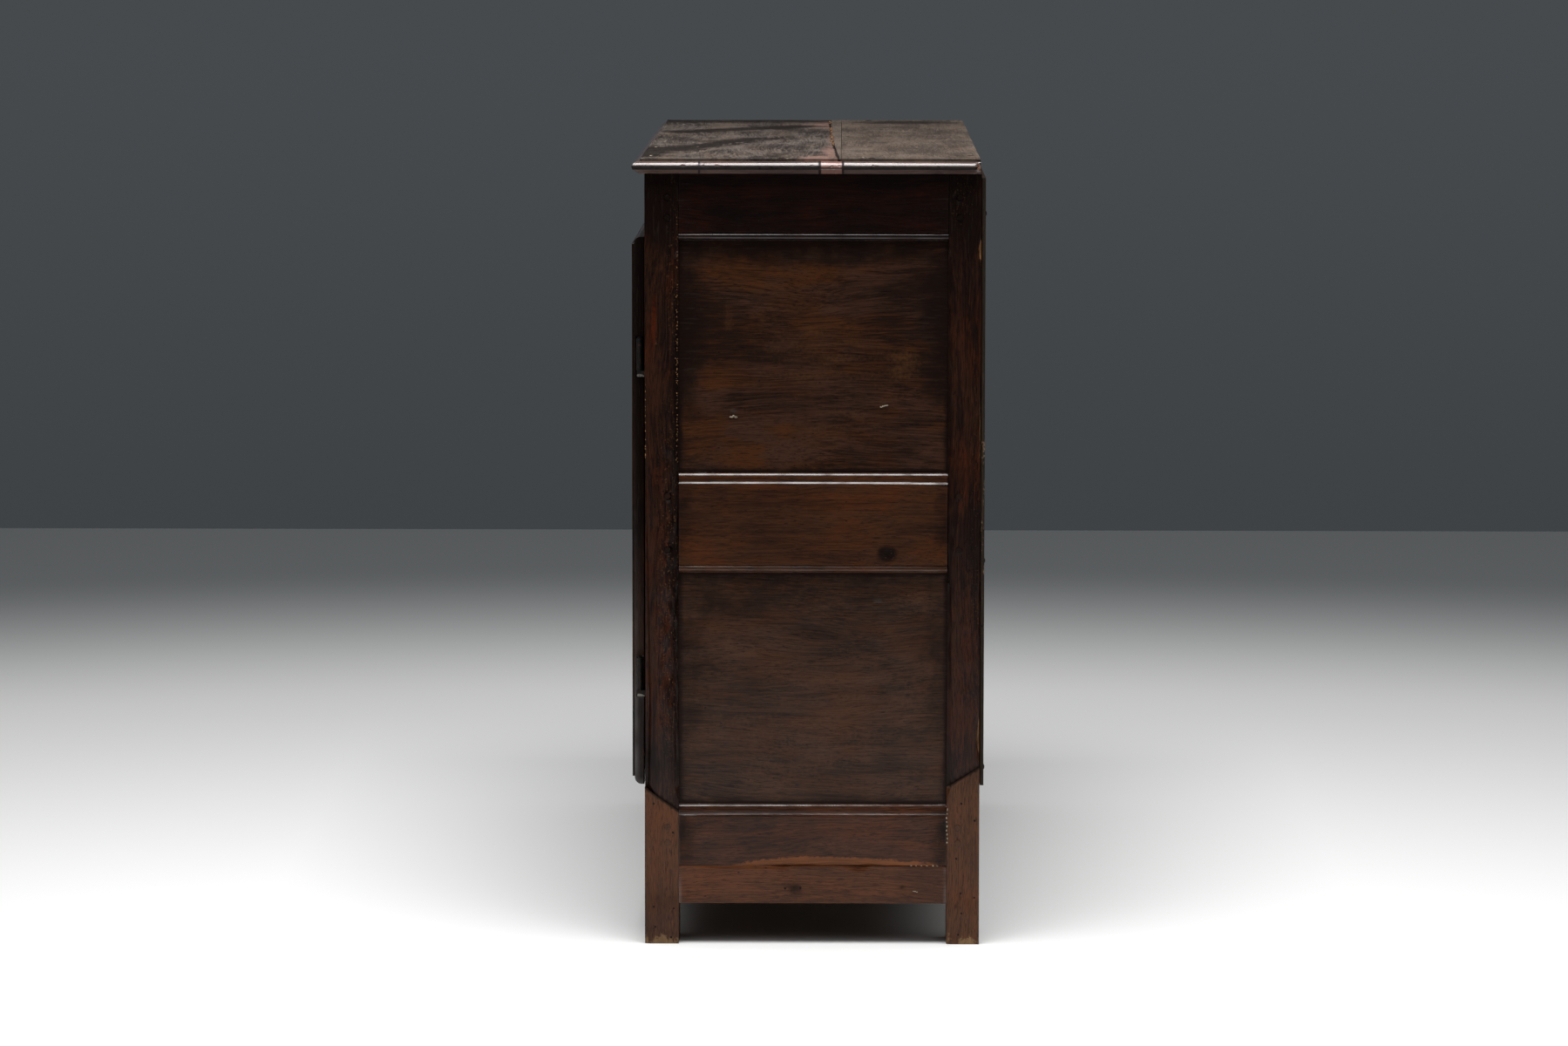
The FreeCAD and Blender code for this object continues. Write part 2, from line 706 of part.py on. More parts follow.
x_sight_lock = x_door_lock + door_stile_width
x_sight_hinge = x_door_hinge - door_stile_width
z_sight_bottom = z_door_bottom + door_bottom_rail_height
z_sight_top = z_door_top - door_top_rail_height
z_middle_top = z_door_middle + door_middle_rail_height
y_tongue_back = y_door_back - door_tongue_from_back
y_tongue = y_tongue_back - door_tenon_thickness
door_rails = {
    "bottom_rail": (z_door_bottom, z_sight_bottom),
    "middle_rail": (z_door_middle, z_middle_top),
    "top_rail": (z_sight_top, z_door_top),
}
door_openings = {
    "lower_panel": (z_sight_bottom, z_door_middle),
    "upper_panel": (z_middle_top, z_sight_top),
}


def door_tenon(z0, z1, slack):
    """Both tenons of a door rail, haunched in from the grooved edges."""
    low, high = z0 + tenon_haunch, z1 - tenon_haunch
    reach = door_tenon_length + slack
    return [
        box(x_sight_lock - reach, x_sight_lock, y_tongue, y_tongue_back, low, high),
        box(x_sight_hinge, x_sight_hinge + reach, y_tongue, y_tongue_back, low, high),
    ]


def door_stile(x0, x1, x_inner, inwards):
    """inwards is the way, along X, from the sight edge into the stile."""
    stile = envelope.common(box(x0, x1, y_door_face, y_door_back, z_door_bottom, z_door_top))
    stile = stile.cut(sticking(
        lambda into, deep: Vector(x_inner + inwards * into, y_door_face + deep, z_door_bottom - over_cut),
        Vector(0, 0, door_height + 2 * over_cut),
    ))
    for z0, z1 in door_openings.values():
        groove_ends = sorted((x_inner, x_inner + inwards * door_groove_depth))
        stile = stile.cut(box(*groove_ends, y_tongue, y_tongue_back, z0 - door_groove_depth, z1 + door_groove_depth))
    for z0, z1 in door_rails.values():
        for stub in door_tenon(z0, z1, mortise_slack):
            stile = stile.cut(stub)
    return stile


def door_rail(z0, z1, stiles, edges):
    """A rail whose shoulders are scribed over the stiles' moulding; edges are its sight edges."""
    rail = envelope.common(box(
        x_sight_lock - sticking_width, x_sight_hinge + sticking_width, y_door_face, y_door_back, z0, z1
    ))
    along = Vector(x_sight_hinge - x_sight_lock + 2 * (sticking_width + over_cut), 0, 0)
    x_from = x_sight_lock - sticking_width - over_cut
    for z_edge, inwards in edges:
        rail = rail.cut(sticking(
            lambda into, deep: Vector(x_from, y_door_face + deep, z_edge + inwards * into), along
        ))
        z_groove = sorted((z_edge, z_edge + inwards * door_groove_depth))
        rail = rail.cut(box(x_sight_lock, x_sight_hinge, y_tongue, y_tongue_back, *z_groove))
    back_of_sticking = y_door_face + sticking_depth
    for x0, x1 in ((x_sight_lock - sticking_width, x_sight_lock), (x_sight_hinge, x_sight_hinge + sticking_width)):
        rail = rail.cut(box(x0, x1, back_of_sticking, y_door_back, z0, z1))
    for stile in stiles:
        rail = rail.cut(stile)
    for stub in door_tenon(z0, z1, 0):
        rail = rail.fuse(stub)
    return rail.removeSplitter()


def door_panel(z0, z1):
    """A raised and fielded panel: tongue, bevel, small step, flat field."""
    grow = door_tongue_length
    tongue = box(x_sight_lock - grow, x_sight_hinge + grow, y_tongue, y_tongue_back, z0 - grow, z1 + grow)
    wide, tall = x_sight_hinge - x_sight_lock, z1 - z0
    y_field = y_door_face + field_below_face
    inset = field_bevel
    base = rectangle(Vector(x_sight_lock, y_tongue, z0), Vector(wide, 0, 0), Vector(0, 0, tall))
    field_corner = Vector(x_sight_lock + inset, y_tongue - bevel_rise, z0 + inset)
    crown = rectangle(field_corner, Vector(wide - 2 * inset, 0, 0), Vector(0, 0, tall - 2 * inset))
    field = box(
        x_sight_lock + inset, x_sight_hinge - inset, y_field, y_tongue - bevel_rise, z0 + inset, z1 - inset
    )
    return tongue.fuse(tapered(base, crown)).fuse(field).removeSplitter()


hinge_stile = door_stile(x_sight_hinge, x_door_hinge, x_sight_hinge, 1)
lock_stile = door_stile(x_door_lock, x_sight_lock, x_sight_lock, -1)
whole_stiles = (hinge_stile, lock_stile)
rail_edges = {
    "bottom_rail": [(z_sight_bottom, -1)],
    "middle_rail": [(z_door_middle, 1), (z_middle_top, -1)],
    "top_rail": [(z_sight_top, 1)],
}
door = {name: door_rail(z0, z1, whole_stiles, rail_edges[name]) for name, (z0, z1) in door_rails.items()}
for name, (z0, z1) in door_openings.items():
    door[name] = door_panel(z0, z1)

# Hinges. The knuckle turns on the pintle's pin and stands on its arm; the door's edge is notched for both.
arm_half = arm_width / 2
pintles = []
knuckles = []
for z_arm in (z_door_bottom + lower_arm_above_door_foot, z_door_top - upper_arm_below_door_top):
    z_seat = z_arm + arm_height
    z_knuckle = z_seat + knuckle_seat_gap
    z_knuckle_top = z_knuckle + knuckle_height
    arm = box(x_door_hinge - arm_half, x_door_hinge + arm_half, y_pin - arm_half, y_front, z_arm, z_seat)
    root = rectangle(Vector(x_door_hinge - arm_half, y_front, z_arm), Vector(arm_width, 0, 0), Vector(0, 0, arm_height))
    point = rectangle(
        Vector(x_door_hinge - spike_tip / 2, y_front + spike_length, z_arm + (arm_height - spike_tip) / 2),
        Vector(spike_tip, 0, 0), Vector(0, 0, spike_tip),
    )
    spike = tapered(root, point)
    for name in ("front_post_right", "front_post_left"):
        nodes[name] = nodes[name].cut(spike if name.endswith("right") else mirrored(spike))
    pin_top = z_knuckle_top + pin_tip
    pin = Part.makeCylinder(pin_radius, pin_top - z_seat, Vector(x_door_hinge, y_pin, z_seat))
    pintles.append(arm.fuse(spike).fuse(pin).removeSplitter())
    barrel = Part.makeCylinder(knuckle_radius, knuckle_height, Vector(x_door_hinge, y_pin, z_knuckle))
    leaf = box(
        x_door_hinge - knuckle_radius - leaf_length, x_door_hinge,
        y_pin - leaf_thickness / 2, y_pin + leaf_thickness / 2, z_knuckle + leaf_inset, z_knuckle_top - leaf_inset,
    )
    bore = Part.makeCylinder(pin_radius + pin_running_clearance, knuckle_height, Vector(x_door_hinge, y_pin, z_knuckle))
    knuckles.append(barrel.fuse(leaf).cut(bore).removeSplitter())
    reach = knuckle_radius + hinge_notch_clearance
    hinge_stile = hinge_stile.cut(box(
        x_door_hinge - reach, x_door_hinge, y_pin - reach, y_door_back,
        z_arm - hinge_notch_clearance, pin_top + hinge_notch_clearance,
    )).cut(leaf)
nodes["pintles"] = Part.makeCompound(pintles + [mirrored(p) for p in pintles])
door["knuckles"] = Part.makeCompound(knuckles)

# Locks. An iron box open towards the door's back, with the bolt running through its rim.
x_lock = muntin_width / 2 + lock_side_gap
z_lock_bottom = z_lock - lock_height / 2
x_key = x_lock + key_from_lock_edge
y_lock_back = y_door_back + lock_depth
case = box(x_lock, x_lock + lock_width, y_door_back, y_lock_back, z_lock_bottom, z_lock_bottom + lock_height)
hollow = box(
    x_lock + lock_wall, x_lock + lock_width - lock_wall, y_door_back, y_lock_back - lock_wall,
    z_lock_bottom + lock_wall, z_lock_bottom + lock_height - lock_wall,
)
bolt_way = box(
    x_lock, x_lock + lock_wall, y_bolt - bolt_clearance, y_bolt + bolt_thickness + bolt_clearance,
    z_bolt - bolt_clearance, z_bolt + bolt_height + bolt_clearance,
)
door["lock_case"] = case.cut(hollow).cut(bolt_way)
x_bolt = x_lock + bolt_nose_inset
x_talon = x_key + bolt_throw / 2 - talon_width / 2
bolt = box(x_bolt, x_bolt + bolt_length, y_bolt, y_bolt + bolt_thickness, z_bolt, z_bolt + bolt_height)
talon = box(x_talon, x_talon + talon_width, y_bolt, y_bolt + bolt_thickness, z_bolt, z_bolt + talon_depth)
both_ends("bolt", bolt.cut(talon))


def keyhole(y0, y1):
    round_part = Part.makeCylinder(keyhole_radius, y1 - y0, Vector(x_key, y0, z_key), Vector(0, 1, 0))
    slot = box(
        x_key - keyhole_slot_width / 2, x_key + keyhole_slot_width / 2, y0, y1, z_key - keyhole_slot_reach, z_key
    )
    return round_part.fuse(slot)


lock_stile = lock_stile.cut(keyhole(y_door_face - over_cut, y_door_back + over_cut))
door["hinge_stile"] = hinge_stile
door["lock_stile"] = lock_stile


def plate_point(across, up):
    return Vector(x_key + across, y_door_face - escutcheon_thickness, z_lock - key_below_centre / 2 + up)


escutcheon = prism([
    plate_point(-escutcheon_waist, -escutcheon_lobe_height),
    (plate_point(0, -escutcheon_half_height), plate_point(escutcheon_waist, -escutcheon_lobe_height)),
    (plate_point(escutcheon_half_width, 0), plate_point(escutcheon_waist, escutcheon_lobe_height)),
    (plate_point(0, escutcheon_half_height), plate_point(-escutcheon_waist, escutcheon_lobe_height)),
    (plate_point(-escutcheon_half_width, 0), plate_point(-escutcheon_waist, -escutcheon_lobe_height)),
], Vector(0, escutcheon_thickness, 0))
door["escutcheon"] = escutcheon.cut(keyhole(y_door_face - escutcheon_thickness - over_cut, y_door_back))

for name, shape in door.items():
    nodes["door_right_" + name] = shape
    nodes["door_left_" + name] = mirrored(shape)

# Pegs of the doors, from the face, two in each corner joint and one at the middle rail
for side, sign in (("right", 1), ("left", -1)):
    door_pegs = []
    for rail, (z0, z1) in door_rails.items():
        middle = (z0 + z1) / 2
        apart = 0 if rail == "middle_rail" else (z1 - z0) / 2 - tenon_haunch - 2 * door_peg_radius
        for stile, x in (
            ("lock_stile", x_sight_lock - door_peg_from_shoulder), ("hinge_stile", x_sight_hinge + door_peg_from_shoulder)
        ):
            held = [f"door_{side}_{stile}", f"door_{side}_{rail}"]
            for z in sorted({middle - apart, middle + apart}):
                head = Vector(sign * x, y_door_face, z)
                drive_peg(door_pegs, held, head, Vector(0, 1, 0), door_peg_radius, door_peg_length, peg_proud)
    nodes[f"door_{side}_pegs"] = Part.makeCompound(door_pegs)

# Key, in the left lock: the bit hangs down and is turned up into the bolt's talon
y_collar = y_door_face - escutcheon_thickness - collar_gap
y_bow = y_collar - collar_length
y_key_tip = y_door_back + bit_from_door + bit_width + key_tip_length
x_left_key = -x_key
key_axis = Vector(0, 1, 0)
shank = Part.makeCylinder(shank_radius, y_key_tip - y_bow, Vector(x_left_key, y_bow, z_key), key_axis)
collar = Part.makeCylinder(collar_radius, collar_length, Vector(x_left_key, y_bow, z_key), key_axis)
bit = box(
    x_left_key - bit_thickness / 2, x_left_key + bit_thickness / 2,
    y_door_back + bit_from_door, y_door_back + bit_from_door + bit_width, z_key - bit_reach, z_key,
)


def bow_point(across, out, shrink):
    """A point of the bow's oval outline; shrink moves it in for the eye."""
    half, tall = bow_width / 2 - shrink, bow_height / 2 - shrink
    return Vector(x_left_key - bow_thickness / 2, y_bow - bow_height / 2 + out * tall, z_key + across * half)


def oval(shrink):
    cos45 = math.cos(math.pi / 4)
    return outline([
        bow_point(-1, 0, shrink),
        (bow_point(-cos45, cos45, shrink), bow_point(0, 1, shrink)),
        (bow_point(cos45, cos45, shrink), bow_point(1, 0, shrink)),
        (bow_point(cos45, -cos45, shrink), bow_point(0, -1, shrink)),
        (bow_point(-cos45, -cos45, shrink), bow_point(-1, 0, shrink)),
    ])


bow = Part.Face(oval(0)).extrude(Vector(bow_thickness, 0, 0)).cut(
    Part.Face(oval(bow_ring)).extrude(Vector(bow_thickness, 0, 0))
)
nodes["key"] = shank.fuse(collar).fuse(bit).fuse(bow).removeSplitter()

os.makedirs("parts", exist_ok=True)
for name, shape in nodes.items():
    if not shape.isValid():
        print("not valid:", name)
    shape.exportStep(f"parts/{name}.step")
print(len(nodes), "nodes,", sum(len(s.Solids) for s in nodes.values()), "solids")
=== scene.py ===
import json
import math
import random

import bmesh
import bpy
import numpy as np
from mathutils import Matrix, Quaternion, Vector, noise

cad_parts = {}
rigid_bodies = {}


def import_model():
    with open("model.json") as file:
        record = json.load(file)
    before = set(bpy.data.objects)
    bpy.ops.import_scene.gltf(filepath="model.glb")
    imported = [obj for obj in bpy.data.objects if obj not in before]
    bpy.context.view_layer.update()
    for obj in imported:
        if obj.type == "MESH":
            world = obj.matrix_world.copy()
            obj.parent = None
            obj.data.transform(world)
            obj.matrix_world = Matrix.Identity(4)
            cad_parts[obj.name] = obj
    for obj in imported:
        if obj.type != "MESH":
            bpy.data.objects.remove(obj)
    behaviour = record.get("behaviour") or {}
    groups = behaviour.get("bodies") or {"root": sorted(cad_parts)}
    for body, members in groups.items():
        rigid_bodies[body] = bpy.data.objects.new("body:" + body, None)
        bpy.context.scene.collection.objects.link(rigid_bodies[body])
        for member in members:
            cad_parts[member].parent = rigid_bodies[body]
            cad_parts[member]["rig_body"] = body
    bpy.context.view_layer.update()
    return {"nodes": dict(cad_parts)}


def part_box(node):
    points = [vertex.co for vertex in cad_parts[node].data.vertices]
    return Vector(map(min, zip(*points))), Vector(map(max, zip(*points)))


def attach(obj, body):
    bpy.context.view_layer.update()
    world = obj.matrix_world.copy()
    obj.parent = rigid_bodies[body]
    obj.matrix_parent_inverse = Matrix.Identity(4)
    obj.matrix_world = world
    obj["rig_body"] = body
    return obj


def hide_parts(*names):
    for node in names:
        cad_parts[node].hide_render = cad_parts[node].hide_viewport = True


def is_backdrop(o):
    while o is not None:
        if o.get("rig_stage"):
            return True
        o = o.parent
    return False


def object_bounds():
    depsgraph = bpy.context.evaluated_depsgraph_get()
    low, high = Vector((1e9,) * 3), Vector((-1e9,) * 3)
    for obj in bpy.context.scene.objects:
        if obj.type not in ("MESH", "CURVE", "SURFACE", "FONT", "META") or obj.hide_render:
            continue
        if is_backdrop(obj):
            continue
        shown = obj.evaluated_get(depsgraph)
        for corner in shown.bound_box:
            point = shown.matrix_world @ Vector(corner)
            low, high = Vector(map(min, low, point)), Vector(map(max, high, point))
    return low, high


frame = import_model()

# Camera. The photograph looks nearly square at the right-hand end, from far off and a little above it.
# Its place, aim and lens were fitted to the corners of that end and to the far corners of the top.
end_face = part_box("front_post_right")[1].x
post_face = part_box("front_post_right")[0].y
eye_from_end = 7.663
eye_from_post_face = 0.2476
eye_height = 1.331
look_down = 0.10436
look_to_front = 0.00971
tilt = 0.00114
lens_length = 142.7
farthest_seen = 60


def put(name, data):
    """A new object in the scene."""
    thing = bpy.data.objects.new(name, data)
    bpy.context.scene.collection.objects.link(thing)
    return thing


camera = put("camera", bpy.data.cameras.new("camera"))
camera.data.lens = lens_length
camera.data.clip_end = farthest_seen
camera.location = (end_face + eye_from_end, post_face + eye_from_post_face, eye_height)
aim = Vector((
    -math.cos(look_down) * math.cos(look_to_front),
    -math.cos(look_down) * math.sin(look_to_front),
    -math.sin(look_down),
))
camera.rotation_mode = "QUATERNION"
camera.rotation_quaternion = aim.to_track_quat("-Z", "Y") @ Quaternion((0, 0, 1), tilt)
bpy.context.scene.camera = camera
bpy.context.scene.view_settings.view_transform = "Standard"

# Floor and light. A plain pale floor that ends at a grey wall, one soft lamp overhead and a dim even
# ceiling. The floor's paint greys towards its edge as painted shade for the fall-off of the light, and
# what the floor throws back lights the sides.
floor_half = 4.91
floor_squares = 24
paint_roughness = 0.7
pale_paint = (0.86, 0.865, 0.86, 1)
painted_shade_grey = (0.235, 0.25, 0.26, 1)
pale_reach = 2.4
grey_reach = 4.3
lamp_size = 1.8
lamp_height = 3.2
lamp_power = 96
lamp_spread = 150
lamp_forward = 0.55
wall_high = (0.062, 0.068, 0.074, 1)
wall_low = (0.049, 0.055, 0.06, 1)
wall_change = (-0.11, -0.02)
fill_above = (0.56, 0.56, 0.56, 1)
fill_level = (0.04, 0.04, 0.04, 1)
fill_change = (0.45, 0.75)


def plug(node, sources):
    """Joins another node's socket to each of these inputs, or writes a plain value there."""
    for name, source in sources.items():
        if isinstance(source, bpy.types.NodeSocket):
            node.id_data.links.new(source, node.inputs[name])
        else:
            node.inputs[name].default_value = source


def new_node(kind, sources=(), tree=None, **settings):
    """A new node, its settings made and its inputs plugged. If no tree is named, it goes into the tree of
    its sources."""
    sources = dict(sources)
    if tree is None:
        tree = next(s.id_data for s in sources.values() if isinstance(s, bpy.types.NodeSocket))
    node = tree.nodes.new(kind)
    for name, value in settings.items():
        setattr(node, name, value)
    plug(node, sources)
    return node


def calc(operation, *values, clamp=False):
    """One step of reckoning with sockets or plain values."""
    return new_node("ShaderNodeMath", enumerate(values), operation=operation, use_clamp=clamp).outputs[0]


def times(a, b, plus=0.0, clamp=False):
    """a times b, and plus added."""
    return calc("MULTIPLY_ADD", a, b, plus, clamp=clamp)


def mix(factor, a, b, blend="MIX"):
    """Colour a where factor is 0 and b where it is 1."""
    colours = {"Factor": factor, 6: a, 7: b}
    return new_node("ShaderNodeMix", colours, data_type="RGBA", blend_type=blend).outputs[2]


def band(value, low, high, to_low=0.0, to_high=1.0):
    """value's stretch from low to high, smoothly turned into to_low to to_high."""
    limits = enumerate((value, low, high, to_low, to_high))
    return new_node("ShaderNodeMapRange", limits, interpolation_type="SMOOTHSTEP").outputs[0]


def new_finish(name):
    """A new material with its tree and its shader."""
    material = bpy.data.materials.new(name)
    material.use_nodes = True
    tree = material.node_tree
    return material, tree, tree.nodes["Principled BSDF"]


floor_bm = bmesh.new()
bmesh.ops.create_grid(floor_bm, x_segments=floor_squares, y_segments=floor_squares, size=floor_half)
floor_mesh = bpy.data.meshes.new("floor")
floor_bm.to_mesh(floor_mesh)
floor_bm.free()
floor = put("floor", floor_mesh)
floor.location.x = end_face
floor_paint, paint, shader = new_finish("floor_paint")
where = new_node("ShaderNodeTexCoord", tree=paint)
far = new_node("ShaderNodeVectorMath", {0: where.outputs["Object"]}, operation="LENGTH")
# The floor is painted greyer away from the object: painted shade for the light's fall-off.
painted_falloff = band(far.outputs["Value"], pale_reach, grey_reach)
plug(shader, {"Base Color": mix(painted_falloff, pale_paint, painted_shade_grey), "Roughness": paint_roughness})
floor.data.materials.append(floor_paint)
floor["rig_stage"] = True

lamp = put("lamp", bpy.data.lights.new("lamp", "AREA"))
lamp.data.size = lamp_size
lamp.data.energy = lamp_power
lamp.data.spread = math.radians(lamp_spread)
lamp.location = (end_face + lamp_forward, 0, lamp_height)

world = bpy.data.worlds.new("studio")
bpy.context.scene.world = world
world.use_nodes = True
sky = world.node_tree
sky.nodes.clear()
path = new_node("ShaderNodeLightPath", tree=sky)
seen = calc("MAXIMUM", path.outputs["Is Camera Ray"], path.outputs["Is Glossy Ray"])
seen = calc("MAXIMUM", seen, path.outputs["Is Transmission Ray"])
outward = new_node("ShaderNodeTexCoord", tree=sky)
heading = new_node("ShaderNodeSeparateXYZ", {0: outward.outputs["Generated"]})
wall = mix(band(heading.outputs["Z"], *wall_change), wall_low, wall_high)
fill = mix(band(heading.outputs["Z"], *fill_change), fill_level, fill_above)
backdrop = new_node("ShaderNodeBackground", {"Color": mix(seen, fill, wall)})
new_node("ShaderNodeOutputWorld", {"Surface": backdrop.outputs[0]})

# Old posts. Four straight oak posts, split and planed by hand, darkened by centuries of wax and dirt.
# Their arrises are worn round. The photographed front one is eaten by worm beside the panels, its face
# worn back towards the foot; the rear one has lost splinters along its outer arris.
MM = 0.001
TRACES = ("bare", "grime_and_shade", "warm", "rot", "rubbed")
joint_sharp = 3 * MM
joint_arris = 0.1 * MM
joint_level = 14 * MM
crack_depth = 2.6 * MM
crack_half = 1.5 * MM
crack_dirt = 2.4 * MM
full_arris = 2.6 * MM
crease = math.radians(38)


def solids_of(node):
    """Each solid of a CAD node as a bmesh of its own, with its flat faces joined up again."""
    whole = bmesh.new()
    whole.from_mesh(frame["nodes"][node].data)
    bmesh.ops.remove_doubles(whole, verts=whole.verts, dist=1e-6)
    whole.verts.index_update()
    reached = [None] * len(whole.verts)
    parts = []
    for start in whole.verts:
        if reached[start.index] is not None:
            continue
        queue = [start]
        reached[start.index] = len(parts)
        while queue:
            for edge in queue.pop().link_edges:
                for other in edge.verts:
                    if reached[other.index] is None:
                        reached[other.index] = len(parts)
                        queue.append(other)
        parts.append((bmesh.new(), {}))
    for v in whole.verts:
        part, copies = parts[reached[v.index]]
        copies[v.index] = part.verts.new(v.co)
    for face in whole.faces:
        part, copies = parts[reached[face.verts[0].index]]
        part.faces.new([copies[v.index] for v in face.verts])
    whole.free()
    for part, copies in parts:
        bmesh.ops.dissolve_limit(part, angle_limit=math.radians(0.5), verts=part.verts, edges=part.edges)
    return [part for part, copies in parts]


def dice(part, low, high, cells, near, dents, cuts):
    """Cuts a solid into cells, closer beside its long faces, round each dent and at cuts, which are
    (axis, place). All sizes in metres."""
    grain = max(range(3), key=lambda a: high[a] - low[a])
    for axis in sorted(range(3), key=lambda a: a != grain):
        count = max(1, round((high[axis] - low[axis]) / cells[axis]))
        places = {round(low[axis] + (high[axis] - low[axis]) * k / count, 6) for k in range(1, count)}
        if axis != grain:
            for inset in near:
                places |= {round(low[axis] + inset, 6), round(high[axis] - inset, 6)}
        for place, reach, depth in dents:
            if min(reach) < reach[axis] < 2.5 * cells[axis]:
                places |= {round(place[axis] + reach[axis] * k / 2, 6) for k in range(-2, 3)}
        places |= {round(place, 6) for across, place in cuts if across == axis}
        normal = Vector([float(axis == a) for a in range(3)])
        for place in sorted(p for p in places if low[axis] < p < high[axis]):
            everything = part.verts[:] + part.edges[:] + part.faces[:]
            bmesh.ops.bisect_plane(part, geom=everything, dist=1e-7, plane_co=normal * place, plane_no=normal)
    part.normal_update()


def nearness(spots, place, reach):
    """For each spot, 1 at place, falling to 0 on the ellipsoid with half-axes reach round it. place may be
    a seam's two ends, and reach then a distance from the line between them."""
    if len(place) == 2:
        start, end = np.array(place[0]), np.array(place[1])
        run = end - start
        share = np.clip((spots - start) @ run / (run @ run), 0, 1)
        away = np.linalg.norm(spots - start - share[:, None] * run, axis=1) / reach
    else:
        away = np.linalg.norm((spots - np.array(place)) / np.array(reach), axis=1)
    return np.maximum(0, 1 - away**2) ** 1.5


def wavering(part, scale, seed):
    """Slow noise at each corner of the mesh, of scale waves a metre."""
    return np.array([noise.noise(v.co * scale + seed) for v in part.verts])


def dress(piece, finish):
    """Gives a piece its finish."""
    piece.data.materials.append(finish)


def worn(node, finish, cells, arris, wander, dents=(), marks=(), rim=0, window=None, near=(1.0, 2.6),
         hollows=(), shine=1.0, tight=None, crack=(), cuts=()):
    """Replaces a node by its worn likeness, always cut back and never built up. Sizes in mm: cells the
    mesh's steps along X, Y and Z; arris the least and most radius of its long arrises; wander how far its
    faces stray; rim the width of the darkened band (dirt, and on the end panels painted shade) inside
    window, which is each solid's own box if not given; near how far inside its long faces the mesh gets
    more cuts. dents, torn, and hollows, smooth, are (place, half-axes, depth) in metres; marks are (trace,
    place, half-axes, strength). shine is how far its mouldings are rubbed bright. Beside tight, a joint's
    (axis, place), the arrises stay sharp; crack is (x, y) places along a split, and cuts more (axis, place)
    for the mesh."""
    cells = [c * MM for c in cells]
    verts, faces, fibres, traces = [], [], [], {name: [] for name in TRACES}
    seed = Vector((sum(map(ord, node)) * 0.37, 0, 0))
    base = 0
    for number, part in enumerate(solids_of(node)):
        spots = np.array([v.co for v in part.verts])
        low, high = spots.min(0), spots.max(0)
        dice(part, low, high, cells, [n * MM for n in near], dents, cuts)
        spots = np.array([v.co for v in part.verts])
        outward = np.array([v.normal for v in part.verts])
        grain = int(np.argmax(high - low))
        cross = [a for a in range(3) if a != grain]
        seed.y = number * 3.1
        quick = wavering(part, 70, seed)
        radius = wavering(part, 9, seed) + 0.4 * quick + 0.25
        radius = (arris[0] + (arris[1] - arris[0]) * np.maximum(0, radius)) * MM
        joined = np.zeros(len(spots), bool)
        if tight:
            to_joint = np.abs(spots[:, tight[0]] - tight[1])
            joined = to_joint < joint_sharp
            radius[joined] = joint_arris
        here = {name: np.zeros(len(spots)) for name in TRACES}
        slanting = np.minimum(1, 6 * (1 - np.abs(outward).max(1)))
        here["rubbed"] = slanting * shine * np.clip(0.8 + 0.9 * quick, 0.2, 1)
        here["rubbed"][joined] = 0
        moved = spots.copy()
        short = [radius - np.minimum(spots[:, a] - low[a], high[a] - spots[:, a]) for a in cross]
        corner = (short[0] > 0) & (short[1] > 0)
        reach = np.maximum(np.hypot(*short), 1e-9)
        push = np.where(corner, np.maximum(0, 1 - radius / reach), 0)
        for a, lack in zip(cross, short):
            moved[:, a] += lack * push * np.where(spots[:, a] < (low[a] + high[a]) / 2, 1, -1)
        here["bare"][corner] = 0.45 * np.minimum(1, radius[corner] / full_arris)
        here["rubbed"][corner] *= 0.4
        depth = wander * MM * (0.5 + 0.42 * wavering(part, 6, seed * 2) + 0.16 * quick)
        stretch = Vector([400 if a != grain else 45 for a in range(3)])
        for place, reach, deep in dents:
            bite = nearness(spots, place, reach)
            for k in np.flatnonzero(bite):
                torn = 0.6 + 0.9 * noise.noise(Vector(spots[k]) * stretch + seed)
                depth[k] += deep * max(0, bite[k] * torn)
        for place, reach, deep in hollows:
            depth += deep * nearness(spots, place, reach)
        if tight:
            depth *= np.clip(to_joint / joint_level, 0, 1)
        if crack:
            split = np.array(crack)
            gap = np.abs(spots[:, 1] - np.interp(spots[:, 0], split[:, 0], split[:, 1]))
            depth += crack_depth * np.maximum(0, 1 - gap / crack_half)
            here["grime_and_shade"] = np.maximum(0, 1.25 - gap / crack_dirt)
        moved = np.clip(moved - outward * depth[:, None], low, high)
        if tight:
            moved[joined, tight[0]] = spots[joined, tight[0]]
        if rim:
            edge_low, edge_high = window or (low, high)
            gap = np.sort(np.minimum(spots - np.array(edge_low), np.array(edge_high) - spots), axis=1)
            edge = gap[:, 0 if window else 1]
            here["grime_and_shade"] = np.maximum(here["grime_and_shade"], np.exp(-np.maximum(0, edge) / (rim * MM)))
        for name, place, reach, strength in marks:
            here[name] = np.maximum(here[name], strength * nearness(spots, place, reach))
        verts += moved.tolist()
        fibres.append(spots[:, [grain] + cross] + (0, seed.x * 0.1, number * 0.7))
        for name in TRACES:
            traces[name].append(here[name])
        part.verts.index_update()
        faces += [[base + v.index for v in face.verts] for face in part.faces]
        base = len(verts)
        part.free()
    mesh = bpy.data.meshes.new(node + "_worn")
    mesh.from_pydata(verts, [], faces)
    for name in TRACES:
        mesh.attributes.new(name, "FLOAT", "POINT").data.foreach_set("value", np.concatenate(traces[name]))
    fibre = mesh.attributes.new("fibre", "FLOAT_VECTOR", "POINT")
    fibre.data.foreach_set("vector", np.concatenate(fibres).ravel())
    mesh.set_sharp_from_angle(angle=crease)
    piece = put("worn_" + node, mesh)
    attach(piece, frame["nodes"][node]["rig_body"])
    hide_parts(node)
    dress(piece, finish)


